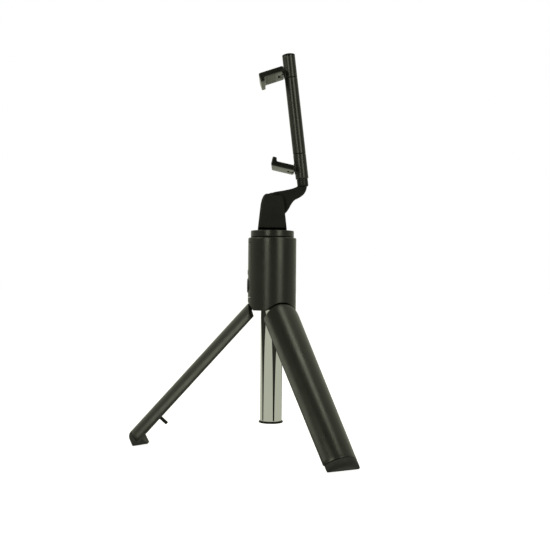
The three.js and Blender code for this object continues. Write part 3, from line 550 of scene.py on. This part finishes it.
def metal(name, colour, rough, smear, stretch):
    """A polished or plated metal: colour, roughness from clean to smeared, and a drawn pattern along Z."""
    material = bpy.data.materials.new(name)
    material.use_nodes = True
    tree = material.node_tree
    shader = tree.nodes["Principled BSDF"]
    shader.inputs["Metallic"].default_value = 1.0
    place = fresh(tree, "TexCoord")
    drawn = fresh(tree, "Mapping", {"Scale": stretch})
    lines = fresh(tree, "TexNoise", {"Scale": 1400.0, "Detail": 3.0})
    smudge = fresh(tree, "TexNoise", {"Scale": 70.0, "Detail": 6.0, "Roughness": 0.65})
    clean = fresh(tree, "MapRange", {"From Min": 0.38, "From Max": 0.72,
                                     "To Min": rough[0], "To Max": rough[1]})
    tint = fresh(tree, "Mix", {"A": (*colour, 1), "B": (*(c * smear for c in colour), 1)}, data_type="RGBA")
    bump = fresh(tree, "Bump", {"Strength": 0.06, "Distance": 0.00001})
    wire(tree, place.outputs["Object"], drawn.inputs["Vector"])
    wire(tree, drawn.outputs["Vector"], lines.inputs["Vector"])
    wire(tree, place.outputs["Object"], smudge.inputs["Vector"])
    wire(tree, smudge.outputs["Fac"], clean.inputs["Value"])
    wire(tree, smudge.outputs["Fac"], tint.inputs["Factor"])
    wire(tree, clean.outputs["Result"], shader.inputs["Roughness"])
    wire(tree, tint.outputs["Result"], shader.inputs["Base Color"])
    wire(tree, lines.outputs["Fac"], bump.inputs["Height"])
    wire(tree, bump.outputs["Normal"], shader.inputs["Normal"])
    return material


STEEL = metal("zinc_steel", (0.56, 0.57, 0.58), (0.24, 0.36), 0.86, (1, 1, 1))


def leg_width(depth):
    """Share of its full width that a leg keeps at a depth below its pin: 1 at the pin, 0.86 at the foot."""
    return 1 - FOOT_NARROWING * np.clip(depth / LEG_LENGTH, 0, 1)


def leg_wall():
    """Two arcs, outer and inner, joined into a closed outline and carried down the leg from an arched top
    edge, where the depth grows with the 2.5th power of the distance from the middle."""
    across, down = 61, 48
    angle = np.linspace(-LEG_HALF_ANGLE, LEG_HALF_ANGLE, across)
    radius = np.concatenate([np.full(across, BODY_R), np.full(across, LEG_INNER_R)])
    angle = np.concatenate([angle, angle[::-1]])
    top = 1 + 3.5 * (np.abs(radius * np.sin(angle)) / 11) ** 2.5
    share = np.linspace(0, 1, down)[:, None]
    depth = top + share * (SOLE_SEAM - GAP - top)
    points = np.stack([np.broadcast_to(radius * np.cos(angle) - LEG_PIN_R, depth.shape),
                       radius * np.sin(angle) * leg_width(depth), -depth], -1)
    ring = 2 * across
    side = np.arange(across - 1)
    rims = [np.stack([base + side, base + side + 1, base + ring - 2 - side, base + ring - 1 - side], -1)
            for base in (0, (down - 1) * ring)]
    return points.reshape(-1, 3), quads(down, ring).tolist() + np.concatenate(rims).tolist()


def plate(outline, near, far):
    """A flat outline in X and Z thickened from y = near to y = far."""
    outline = np.asarray(outline, float)
    count = len(outline)
    rows = [np.stack([outline[:, 0], np.full(count, y), outline[:, 1]], -1) for y in (near, far)]
    ends = [list(range(count)), list(range(count, 2 * count))]
    return np.concatenate(rows), quads(2, count).tolist() + ends


def arc(x, z, radius, start, stop, steps=16):
    """Points of a round edge about (x, z), from one angle to another in degrees."""
    angle = np.radians(np.linspace(start, stop, steps + 1))
    return np.stack([x + radius * np.cos(angle), z + radius * np.sin(angle)], -1)


def leg_cheek(near, far):
    """The pin's round eye running down into a web along the inside of the wall."""
    edge = LEG_INNER_R - LEG_PIN_R - 0.1
    web = np.array([(edge, -2.2), (edge, -12.0), (-1.0, -6.0)])
    return plate(np.concatenate([arc(0, 0, CHEEK_R, 180, 0), web]), near, far)


def leg_bulkhead():
    """A curved shelf across the wall just above the sole, cut straight where the toe begins."""
    across = 41
    angle = np.radians(np.linspace(-44, 44, across))
    outer = np.stack([(LEG_INNER_R + 0.5) * np.cos(angle), (LEG_INNER_R + 0.5) * np.sin(angle)], -1)
    inner = np.stack([np.maximum(9.5 * np.cos(angle), CHORD + GAP), 9.5 * np.sin(angle)], -1)
    outline = np.concatenate([outer, inner[::-1]])
    ring = 2 * across
    rows = [np.stack([outline[:, 0] - LEG_PIN_R, outline[:, 1] * leg_width(depth), np.full(ring, -depth)], -1)
            for depth in (SOLE_SEAM - GAP - BULKHEAD_T, SOLE_SEAM - GAP)]
    side = np.arange(across - 1)
    caps = [np.stack([base + side, base + side + 1, base + ring - 2 - side, base + ring - 1 - side], -1)
            for base in (0, ring)]
    return np.concatenate(rows), quads(2, ring).tolist() + np.concatenate(caps).tolist()


def peg_socket():
    """A blind round boss along X that the peg is pressed into."""
    hole, wall = PEG_R + 0.25, PEG_R + 1.4
    profile = [(hole, -3.6), (wall, -3.6), (wall, 2.0), (0, 2.0), (0, 0.6), (hole, 0.6)]
    return placed(spun_profile(profile, 48), shift(z=-PEG_AT) @ rotation(90, "Y"))


def leg_sole():
    """A profile in depth carried across the foot: toe facet, flat bottom, rounded outer rim, wall, top.
    Across runs from -1 to 1 between the straight sides, and each point slides from chord to outer arc."""
    columns = 65
    across = np.linspace(-1, 1, columns)
    sweep = across * math.radians(SOLE_HALF_SWEEP)
    corner = 1.1 + 2.6 * (1 - across ** 4)
    turn_down = np.radians(np.linspace(0, 90, 9))
    toe_high = LEG_LENGTH - (CHORD - TOE_X) * math.tan(math.radians(LEG_SPLAY))
    side = math.tan(LEG_HALF_ANGLE)

    def straight(x, depth):
        row = np.full(columns, float(x))
        return np.stack([row, across * (x - 0.9) * side, np.full(columns, float(depth))], -1)

    def curved(share, radius, depth):
        """share 0 is the chord and share 1 the outer arc."""
        chord_y = across * (CHORD - 0.9) * side
        x = CHORD + share * (radius * np.cos(sweep) - CHORD)
        y = chord_y + share * (radius * np.sin(sweep) - chord_y)
        return np.stack([x, y, np.broadcast_to(depth, columns)], -1)

    rows = [straight(TOE_X, toe_high)]
    rows += [straight(TOE_X + s * (CHORD - TOE_X), toe_high + s * (LEG_LENGTH - toe_high))
             for s in (0.33, 0.66, 1.0)]
    rows += [curved(s, BODY_R - corner, LEG_LENGTH) for s in (0.25, 0.5, 0.75)]
    rows += [curved(1, BODY_R - corner * (1 - math.sin(a)), LEG_LENGTH - corner * (1 - math.cos(a)))
             for a in turn_down]
    rows += [curved(1, BODY_R, SOLE_SEAM + 0.15), curved(1, BODY_R - 0.15, SOLE_SEAM)]
    rows += [curved(s, BODY_R - 0.15, SOLE_SEAM) for s in (0.7, 0.35, 0.0)]
    rows += [straight(CHORD - 0.6, SOLE_SEAM - 2.6), straight(TOE_X, toe_high - 1)]
    points = np.stack(rows)
    count = len(rows)
    points[..., 1] *= leg_width(points[..., 2])
    points[..., 0] -= LEG_PIN_R
    points[..., 2] *= -1
    grid = quads(count, columns, wrap_rows=True, wrap_columns=False)
    ends = [[row * columns + column for row in range(count)] for column in (0, columns - 1)]
    return points.reshape(-1, 3), grid.tolist() + ends


def peg():
    """A short round pin along X with a domed tip."""
    tip = arc(0, 0, 0.5, 0, 90, 8) + np.array([PEG_R - 0.5, 10.7])
    profile = [tuple(point) for point in tip] + [(0, 11.2), (0, 0), (PEG_R, 0)]
    return placed(spun_profile(profile, 48), shift(x=0.3, z=-PEG_AT) @ rotation(-90, "Y"))


for number, azimuth in enumerate(LEG_AZIMUTHS, 1):
    on_body = shift(z=BODY_Z) @ rotation(azimuth, "Z") @ shift(LEG_PIN_R, 0, LEG_PIN_Z)
    spread = on_body @ rotation(-LEG_SPLAY, "Y")
    body = joined(leg_wall(), leg_cheek(CHEEK_INNER, CHEEK_OUTER), leg_cheek(-CHEEK_OUTER, -CHEEK_INNER),
                  leg_bulkhead(), peg_socket())
    make_piece(f"leg_{number}_wall", placed(body, spread), SATIN, f"leg_{number}",
               [f"leg_shell_{number}"], 0.3)
    make_piece(f"leg_{number}_sole", placed(leg_sole(), spread), RUBBER, f"leg_{number}",
               [f"leg_sole_{number}"], 0.3)
    make_piece(f"leg_{number}_peg", placed(peg(), spread), MATTE, f"leg_{number}",
               [f"leg_peg_{number}"])

# ---- Pole ----
# Drawn steel tubes plated with chrome, each sliding inside the last on a plastic bush: the widest is fixed
# in the body and closed below by a push-in plug, and the others stay inside it while the pole is shut.
CHROME = metal("polished_chrome", (0.90, 0.905, 0.91), (0.035, 0.075), 0.97, (1, 1, 0.02))
TUBE_R = 7.35
TUBE_LOW = BODY_Z - 74.4
TUBE_WALL = 0.5
SECTION_STEP = 0.85


def tube(outer, inner, low, high, lip=0.08, segments=128):
    """A round tube standing on Z with its four rims rounded."""
    corners = [(inner, low), (outer, low), (outer, high), (inner, high)]
    return spun_profile(filleted(corners, lip, 3), segments)


def end_plug():
    """A cup pushed into the tube behind a flange with a rounded rim."""
    corners = [(0, 0), (8.2, 0), (8.2, 1.1), (6.55, 1.1), (6.55, 4.1), (5.35, 4.1), (5.35, 1.6), (0, 1.6)]
    rounding = [0, 0.45, 0.25, 0.05, 0.4, 0.3, 0.3, 0]
    return spun_profile(filleted(corners, rounding, 5), 128)


make_piece("pole_tube", tube(TUBE_R, TUBE_R - TUBE_WALL, TUBE_LOW, BODY_Z + 44), CHROME, "root",
           ["outer_tube"])
make_piece("pole_plug", end_plug(), MATTE, "root", ["pole_end_plug"])
make_piece("pole_gland", tube(TUBE_R, TUBE_R - 0.55, BODY_Z + 44.3, BODY_Z + 46.5, 0.2), MATTE, "root",
           ["tube_gland"])
for number in range(1, 5):
    outer = TUBE_R - SECTION_STEP * number
    low = TUBE_LOW + 3.6 + 3 * number
    high = BODY_Z + (51.9 if number == 4 else 47.2 + 0.5 * number)
    rides = "head" if number == 4 else f"pole_section_{number}"
    make_piece(f"pole_tube_{number}", tube(outer, outer - TUBE_WALL, low, high), CHROME, rides,
               [f"section_{number}"])
    bush = tube(outer + 0.1, outer - TUBE_WALL, low - 2.8, low - 0.3, 0.15)
    make_piece(f"pole_bush_{number}", bush, MATTE, rides, [f"section_bush_{number}"])

# ---- Head ----
# A turned cap on the innermost tube carries a moulded yoke. A socket screw through the yoke clamps the
# neck between two friction washers, and the neck ends in a leaning knuckle that the clip turns on.
CAP_Z = BODY_Z + 49.3
YOKE_Z = CAP_Z + 4.7
TILT_Z = YOKE_Z + 16
FOOT_X, FOOT_RISE = 19.9, 18.9
LEAN = shift(FOOT_X, 0, TILT_Z + FOOT_RISE) @ rotation(-6.78, "Y")
YOKE_HALF_W = 9.7
YOKE_HALF_T = 8.4
SLOT_FLOOR = 5.5
SLOT_HALF_W = 4.0
NECK_BOSS_R, NECK_BOSS_LEFT = 9.5, 7.4
NECK_HALF_T = 2.9
KNUCKLE_R, KNUCKLE_H = 3.75, 5.2
SCREW_R, HEX_R = 1.5, 1.3


def bezier(*control, steps=12):
    """Points of a quadratic or cubic curve through 3 or 4 control points, without its first one."""
    control = np.asarray(control, float)
    share = np.linspace(0, 1, steps + 1)[1:, None]
    while len(control) > 1:
        control = [(1 - share) * a + share * b for a, b in zip(control[:-1], control[1:])]
    return control[0]


def inset(outline, distance):
    """The outline moved inwards: each corner slides along the bisector of its two sides."""
    outline = np.asarray(outline, float)
    before = outline - np.roll(outline, 1, 0)
    after = np.roll(outline, -1, 0) - outline
    area = (outline[:, 0] * np.roll(outline[:, 1], -1) - np.roll(outline[:, 0], -1) * outline[:, 1]).sum()
    turn_in = 1 if area > 0 else -1
    normals = []
    for side in (before, after):
        unit = side / np.maximum(np.linalg.norm(side, axis=1), 1e-9)[:, None]
        normals.append(np.stack([-unit[:, 1], unit[:, 0]], -1) * turn_in)
    middle = normals[0] + normals[1]
    middle /= np.maximum((middle ** 2).sum(1), 0.5)[:, None] / 2
    return outline + middle * distance


def forked(outline, half_width, chamfer, slot_half, in_slot):
    """An outline in X and Z carried across Y in six rows, with chamfered faces and a slot in the middle.
    in_slot marks the outline's points on the slot's side of its floor, which is two of those points."""
    rows = [(-half_width, chamfer), (-half_width + chamfer, 0), (-slot_half, 0), (slot_half, 0),
            (half_width - chamfer, 0), (half_width, chamfer)]
    count = len(outline)
    points = []
    for y, depth in rows:
        flat = inset(outline, depth) if depth else np.asarray(outline, float)
        points.append(np.stack([flat[:, 0], np.full(count, y), flat[:, 1]], -1))
    grid = quads(6, count).reshape(5, count, 4)
    keep = np.ones((5, count), bool)
    keep[2] = ~(in_slot & np.roll(in_slot, -1))
    edge = np.flatnonzero(in_slot)
    faces = grid[keep].tolist() + [list(range(count)), list(range(5 * count, 6 * count))]
    start = int(np.flatnonzero(in_slot & ~np.roll(in_slot, 1))[0])
    run = [(start + step) % count for step in range(len(edge))]
    faces += [[2 * count + step for step in run], [3 * count + step for step in run]]
    faces += [[2 * count + run[0], 2 * count + run[-1], 3 * count + run[-1], 3 * count + run[0]]]
    return np.concatenate(points), faces


def cut_line(outline, axis, level):
    """The outline with a point added wherever it crosses a level of one axis."""
    points = []
    for here, there in zip(outline, np.roll(outline, -1, 0)):
        points.append(tuple(here))
        if (here[axis] - level) * (there[axis] - level) < -1e-9:
            share = (level - here[axis]) / (there[axis] - here[axis])
            points.append(tuple(here + share * (there - here)))
    return np.array(points)


def yoke():
    """Sides that lean in to round shoulders, a bevelled face each way and a slot for the neck."""
    half = YOKE_HALF_W
    outline = np.concatenate([
        [(-half - 0.025, 0.0), (-half, 1.0), (-half + 1.7, 16.6)],
        bezier((-half + 1.7, 16.6), (-half + 2.4, 20.9), (-half + 3.6, 24.3), (-3.6, 24.3)),
        [(3.4, 24.3)],
        bezier((3.4, 24.3), (7.0, 24.1), (7.4, 20.5)),
        [(half, 1.0), (half + 0.025, 0.0)]])
    outline = cut_line(outline, 1, SLOT_FLOOR)
    body = forked(outline, YOKE_HALF_T, 1.1, SLOT_HALF_W, outline[:, 1] > SLOT_FLOOR - 1e-6)
    return placed(body, shift(z=YOKE_Z))


def cap():
    """A disc with two rounded rims, bored for the tube below and the yoke's screw above."""
    corners = [(4.25, 0), (14.6, 0), (14.6, 4.4), (1.7, 4.4), (1.7, 2.9), (4.25, 2.9)]
    rounding = [0.2, 0.55, 0.55, 0.2, 0.1, 0.1]
    return placed(spun_profile(filleted(corners, rounding, 5), 160), shift(z=CAP_Z))


def socket_screw():
    """A round head whose top rows become a hexagon and drop into it, on a plain shank; turned to lie on Y."""
    angle = np.linspace(0, 2 * np.pi, 96, endpoint=False)
    hexagon = HEX_R * math.cos(np.pi / 6) / np.cos(angle % (np.pi / 3) - np.pi / 6)
    rows = [(0, -6.7), (SCREW_R - 0.2, -6.7), (SCREW_R, -6.5), (SCREW_R, 6.0), (2.8, 6.0), (2.8, 7.6),
            (2.72, 7.8), (2.55, 7.9)]
    points = [np.stack([r * np.cos(angle), r * np.sin(angle), np.full(96, z)], -1) for r, z in rows]
    for share, z in ((1.0, 7.9), (0.97, 7.82), (0.97, 6.7), (0.0, 6.7)):
        points.append(np.stack([share * hexagon * np.cos(angle), share * hexagon * np.sin(angle),
                                np.full(96, z)], -1))
    faces = quads(len(points), 96).tolist()
    return placed((np.concatenate(points), faces), shift(z=TILT_Z) @ rotation(-90, "X"))


def neck():
    """A flat link: a big round boss on the tilt axis flows through two curves into the clip's knuckle."""
    x, z = FOOT_X, FOOT_RISE
    left = arc(0, 0, 1, 90, 270, 36) * (NECK_BOSS_LEFT, NECK_BOSS_R)
    boss = arc(0, 0, NECK_BOSS_R, 270, 333, 16)[1:]
    low = bezier(boss[-1], (x - 8.1, z - 20.3), (x - 8, z - 16.4), (x - 4.6, z - 13.8), steps=14)
    rise = bezier(low[-1], (x - 1, z - 12), (x + 2.9, z - 10.2), (x + 3.2, z - 5), steps=14)
    back = bezier((x - 3.2, z - 5), (x - 6.4, z - 7.1), (x - 11.9, z - 7.7), (1, 9.9), steps=16)
    outline = np.concatenate([left, boss, low, rise, [(x - 3.2, z - 5)], back])
    turn_over = np.radians(np.linspace(0, 90, 5))
    edge = 0.7
    fall = edge * (1 - np.sin(turn_over))
    depth = np.concatenate([fall, fall[::-1]])
    step_in = edge * (1 - np.cos(turn_over))
    y = np.concatenate([step_in - NECK_HALF_T, (NECK_HALF_T - step_in)[::-1]])
    count = len(outline)
    rows = []
    for near, far in zip(y, depth):
        flat = inset(outline, far)
        rows.append(np.stack([flat[:, 0], np.full(count, near), flat[:, 1]], -1))
    faces = quads(10, count).tolist() + [list(range(count)), list(range(9 * count, 10 * count))]
    link = placed((np.concatenate(rows), faces), shift(z=TILT_Z))
    corners = [(0, -KNUCKLE_H), (KNUCKLE_R, -KNUCKLE_H), (KNUCKLE_R, 0), (0, 0)]
    knuckle = spun_profile(filleted(corners, [0, 1.2, 0.25, 0], 5), 96)
    return joined(link, placed(knuckle, LEAN))


def washer(near, far):
    """A thin friction disc lying across Y."""
    corners = [(1.75, near), (6.5, near), (6.5, far), (1.75, far)]
    return placed(spun_profile(filleted(corners, 0.1, 3), 96), shift(z=TILT_Z) @ rotation(-90, "X"))


make_piece("cap", cap(), SATIN, "head", ["head_cap"])
make_piece("yoke", yoke(), MATTE, "head", ["tilt_yoke"], 0.3)
make_piece("socket_screw", socket_screw(), STEEL, "head", ["tilt_screw"])
make_piece("washer_front", washer(-3.7, -3.2), MATTE, "head", ["friction_washer_1"])
make_piece("washer_back", washer(3.2, 3.7), MATTE, "head", ["friction_washer_2"])
make_piece("neck", neck(), MATTE, "neck", ["neck_bracket"])

# ---- Phone clip ----
# A bar of three sleeves over a steel rod: the upper sleeve pulls the rod up against a spring. A folding
# arm hinges on a lug at each end, faced with a ribbed rubber pad and ended by a lip.
BAR_R = 4.35
PIN_X = -6.9
LOWER_ARM_Z = 7.4
ARM_HALF_W = 13.5
ARM_HALF_T = 1.7
LUG_R = 1.6
PAD_HALF_W = ARM_HALF_W - 2
RIB_PITCH = 1.6
UPPER_ARM_Z = 72.95
CLIP_BLACK = moulded("clip_black", (0.0055, 0.0058, 0.0046), (0.05, 0.051, 0.044), 3400, 0.5,
                     (0.20, 0.28), 0.6)
PAD_GREY = moulded("pad_rubber", (0.10, 0.103, 0.092), (0.16, 0.163, 0.15), 2400, 0.8,
                   (0.42, 0.55), 0.5)


def lug(at):
    """A round eye, a tongue and the wider pad that joins them to the sleeve."""
    eye = arc(PIN_X, at, LUG_R, 90, 270, 20)
    root = [(-4.6, at - LUG_R), (-4.6, at - 3.5), (-3.4, at - 3.5), (-3.4, at + 3.5), (-4.6, at + 3.5),
            (-4.6, at + LUG_R)]
    return plate(np.concatenate([eye, root]), -3, 3)


def sleeve(corners, rounding):
    """A closed outline of radius and height, with rounded corners, spun round the bar's axis."""
    return spun_profile(filleted(corners, rounding, 4), 112)


def clip_arm(length):
    """The arm seen from its side: a round heel on the pin, a straight back and an upturned lip."""
    half, lip = ARM_HALF_T, ARM_HALF_T + 2.5
    outline = np.concatenate([
        [(length - 1.2, -half)],
        bezier((length - 1.2, -half), (length, -half), (length, -half + 1.2), steps=6),
        [(length, lip - 0.6)],
        bezier((length, lip - 0.6), (length, lip), (length - 0.7, lip), steps=4),
        [(length - 2.2, lip)],
        bezier((length - 2.2, lip), (length - 2.8, lip), (length - 2.8, lip - 0.6), steps=4),
        bezier((length - 2.8, lip - 0.6), (length - 2.9, half), (length - 4.0, half), steps=6),
        [(-1.0, half)],
        bezier((-1.0, half), (-2.4, half), (-2.4, half - 1.4), steps=6),
        bezier((-2.4, 1.4 - half), (-2.4, -half), (-1.0, -half), steps=6)])
    outline = cut_line(outline, 0, LUG_R + 0.5)
    return forked(outline, ARM_HALF_W, 0.4, 3.3, outline[:, 0] < LUG_R + 0.5 + 1e-6)


def ribbed_pad(length):
    """Height over (x, y): round ribs, RIB_PITCH apart, that fade out towards a rounded border."""
    start, stop = 3.4, length - 3.6
    rows, columns = 73, 45
    x = np.linspace(start, stop, rows)[:, None]
    y = np.linspace(-PAD_HALF_W, PAD_HALF_W, columns)[None, :]
    wave = 0.5 + 0.5 * np.cos((x - start - 1.0) * 2 * np.pi / RIB_PITCH)
    inside = np.minimum(np.minimum(x - start, stop - x), PAD_HALF_W - np.abs(y))
    border = np.clip(inside / 0.5, 0, 1)
    ribs = 0.26 * wave ** 0.8 * np.clip((inside - 0.2) / 0.5, 0, 1)
    height = ARM_HALF_T + 0.04 - 0.2 * (1 - border) ** 2 + ribs
    top = np.stack([np.broadcast_to(x, height.shape), np.broadcast_to(y, height.shape), height], -1)
    under = top.copy()
    under[..., 2] = ARM_HALF_T - 0.3
    points = np.concatenate([top.reshape(-1, 3), under.reshape(-1, 3)])
    grid = quads(rows, columns, wrap_columns=False)
    side, end, layer = columns - 1, rows - 1, rows * columns
    ring = np.concatenate([np.arange(side), side + columns * np.arange(end),
                           end * columns + np.arange(side, 0, -1), columns * np.arange(end, 0, -1)])
    wall = np.stack([ring, np.roll(ring, -1), np.roll(ring, -1) + layer, ring + layer], -1)
    return points, grid.tolist() + (grid + layer).tolist() + wall.tolist()


lower_sleeve = sleeve([(1.5, 0.3), (BAR_R, 0.3), (BAR_R, 16.9), (3.05, 16.9), (3.05, 2.6), (1.5, 2.6)],
                      [0.1, 0.3, 0.3, 0.2, 0.1, 0.1])
make_piece("clip_lower_sleeve", placed(joined(lower_sleeve, lug(LOWER_ARM_Z)), LEAN), SATIN, "clip",
           ["lower_sleeve"], 0.25)
middle_sleeve = sleeve([(2.35, 11.2), (2.75, 11.2), (2.75, 17.2), (BAR_R, 17.2), (BAR_R, 68.9), (2.35, 68.9)],
                       [0.05, 0.05, 0.05, 0.3, 0.3, 0.2])
make_piece("clip_middle_sleeve", placed(middle_sleeve, LEAN), SATIN, "clip", ["middle_tube"])
upper_sleeve = sleeve([(2.35, 69.2), (BAR_R, 69.2), (BAR_R, 83.9), (3.05, 83.9), (3.05, 77.5), (2.35, 77.5)],
                      [0.1, 0.3, 0.15, 0.2, 0.1, 0.1])
make_piece("clip_upper_sleeve", placed(joined(upper_sleeve, lug(UPPER_ARM_Z)), LEAN), SATIN, "clip_upper",
           ["upper_sleeve"], 0.25)
cap_plug = sleeve([(0, 81.2), (2.75, 81.2), (2.75, 84.2), (BAR_R, 84.2), (BAR_R, 85.0), (2.75, 85.55),
                   (0, 85.6)], [0, 0.2, 0.05, 0.1, 0.5, 1.2, 0])
make_piece("clip_end_cap", placed(cap_plug, LEAN), MATTE, "clip_upper", ["clip_top_cap"])
rod = sleeve([(1.5, 8), (2.05, 8), (2.05, 77.2), (0, 77.2), (0, 76), (1.5, 76)], [0.1, 0.3, 0.3, 0, 0, 0.1])
make_piece("clip_rod_bar", placed(rod, LEAN), CHROME, "clip_upper", ["clip_rod"])
for place, at, length, turned in (
        ("lower", LOWER_ARM_Z, 13.4, rotation(19.5, "Y") @ rotation(180, "Z")),
        ("upper", UPPER_ARM_Z, 14.7, rotation(-11.5, "Y") @ rotation(180, "Y"))):
    on_pin = LEAN @ shift(PIN_X, 0, at) @ turned
    rides = f"{place}_clamp_arm"
    make_piece(f"{place}_clip_arm", placed(clip_arm(length), on_pin), CLIP_BLACK, rides,
               [f"{place}_arm"], 0.2)
    make_piece(f"{place}_clip_pad", placed(ribbed_pad(length), on_pin), PAD_GREY, rides,
               [f"{place}_arm_pad"])

# ---- Remote ----
# A pull-out remote control whose curved cover completes the round body: a dished shutter button and a
# small smoked lens show through it, over a green board and a coin cell on a plain back.
REMOTE_LOW, REMOTE_SPLIT, REMOTE_HIGH = 8.8, 22.5, 45.2
REMOTE_HALF_W = 8.6
REMOTE_WALL = 1.3
BUTTON_Z, BUTTON_HOLE = 16.5, 5.3
LENS_Z, LENS_HOLE = 25.6, 2.3


def walk(half_width, low, high, steps=24):
    """Points round a rectangle in Y and Z, the same number along each side."""
    share = np.linspace(0, 1, steps, endpoint=False)
    y = half_width * (2 * share - 1)
    z = low + (high - low) * share
    flat, flip = np.full(steps, half_width), half_width * (1 - 2 * share)
    return np.concatenate([
        np.stack([y, np.full(steps, low)], -1), np.stack([flat, z], -1),
        np.stack([flip, np.full(steps, high)], -1), np.stack([-flat, high + low - z], -1)])


def on_barrel(flat, radius):
    """Points in Y and Z laid on the -X side of a cylinder about the pole."""
    return np.stack([-np.sqrt(radius ** 2 - flat[..., 0] ** 2), flat[..., 0], flat[..., 1]], -1)


def holed_zone(border, inner_border, middle, hole):
    """Rows run from the inside border in to a round hole, out through it and on to the outside border."""
    away = border - np.array([0.0, middle])
    circle = np.array([0.0, middle]) + hole * away / np.linalg.norm(away, axis=1)[:, None]
    share = np.linspace(0, 1, 9)[:, None, None]
    inside = on_barrel(inner_border + share * (circle - inner_border), BODY_R - REMOTE_WALL)
    outside = on_barrel(circle + share * (border - circle), BODY_R)
    points = np.concatenate([inside, outside])
    return points.reshape(-1, 3), quads(18, border.shape[0]).tolist()


def remote_cover():
    """Two holed zones of the barrel, and the skirt that runs from their common border to the back."""
    narrow = REMOTE_HALF_W - REMOTE_WALL
    lower = walk(REMOTE_HALF_W, REMOTE_LOW, REMOTE_SPLIT)
    upper = walk(REMOTE_HALF_W, REMOTE_SPLIT, REMOTE_HIGH)
    lower_in = walk(narrow, REMOTE_LOW + REMOTE_WALL, REMOTE_SPLIT)
    upper_in = walk(narrow, REMOTE_SPLIT, REMOTE_HIGH - REMOTE_WALL)
    zones = [holed_zone(lower, lower_in, BUTTON_Z, BUTTON_HOLE),
             holed_zone(upper, upper_in, LENS_Z, LENS_HOLE)]
    around = [np.concatenate([a[:48], b[24:96], a[72:]]) for a, b in ((lower, upper), (lower_in, upper_in))]
    back = [np.concatenate([np.full((len(flat), 1), 6.4 - BODY_R), flat], 1) for flat in around]
    rows = np.stack([on_barrel(around[1], BODY_R - REMOTE_WALL), back[1], back[0],
                     on_barrel(around[0], BODY_R)])
    skirt = rows.reshape(-1, 3), quads(4, len(around[0])).tolist()
    return joined(*zones, skirt)


def shutter():
    """A round key along X: straight side, rounded rim and a face dished by the square of the radius."""
    dish = [(r, 2.5 - 0.35 * (1 - (r / 4.2) ** 2)) for r in np.linspace(0, 4.2, 9)[1:]]
    rim = [(4.4 + 0.6 * math.sin(a), 1.9 + 0.6 * math.cos(a)) for a in np.radians(np.linspace(0, 90, 7))]
    profile = [(0, 0), (0, 2.15)] + dish + rim + [(5, 0)]
    return placed(spun_profile(profile, 128), shift(x=-14.2, z=BODY_Z + BUTTON_Z) @ rotation(-90, "Y"))


def lens():
    """A light pipe along X with a shallow domed end."""
    dome = [(2.0 * math.sin(a), 2.65 + 0.35 * math.cos(a)) for a in np.radians(np.linspace(90, 8, 9))]
    profile = [(0, 0), (2.0, 0)] + dome + [(0, 3.0)]
    return placed(spun_profile(profile, 96), shift(x=-13.6, z=BODY_Z + LENS_Z) @ rotation(-90, "Y"))


LENS = moulded("smoked_lens", (0.006, 0.006, 0.008), (0.012, 0.012, 0.014), 900, 0.05,
               (0.05, 0.12), 0.2)
KEY = moulded("key_black", (0.010, 0.010, 0.011), (0.045, 0.045, 0.045), 5200, 0.5,
              (0.34, 0.46), 0.4)
make_piece("remote_shell", placed(remote_cover(), shift(z=BODY_Z)), SATIN, "remote",
           ["remote_cover"], 0.25)
make_piece("shutter_key", shutter(), KEY, "shutter", ["shutter_button"])
make_piece("lens", lens(), LENS, "remote", ["remote_lens"])

# ---- Fixings and inside pieces ----
# The hub, its screws, the hinge pins, the nut, the spring and the inside of the remote keep their own
# shapes. They get the finish of what they are: moulded plastic, zinc-plated steel or lacquered board.
BOARD = moulded("green_board", (0.018, 0.11, 0.04), (0.45, 0.33, 0.12), 1500, 0.6, (0.22, 0.38), 0.2)


def refinished(names, material):
    """Gives the named CAD pieces one finish, leaving their shapes alone."""
    for name in names:
        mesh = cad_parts[name].data
        mesh.materials.clear()
        mesh.materials.append(material)


refinished(["leg_hub", "remote_back", "remote_tray"], MATTE)
refinished(["remote_board"], BOARD)
refinished(["hub_screw_1", "hub_screw_2", "hub_screw_3", "leg_pin_1", "leg_pin_2", "leg_pin_3",
            "yoke_screw", "tilt_nut", "swivel_screw", "clip_spring", "lower_arm_pin", "upper_arm_pin",
            "remote_cell"], STEEL)
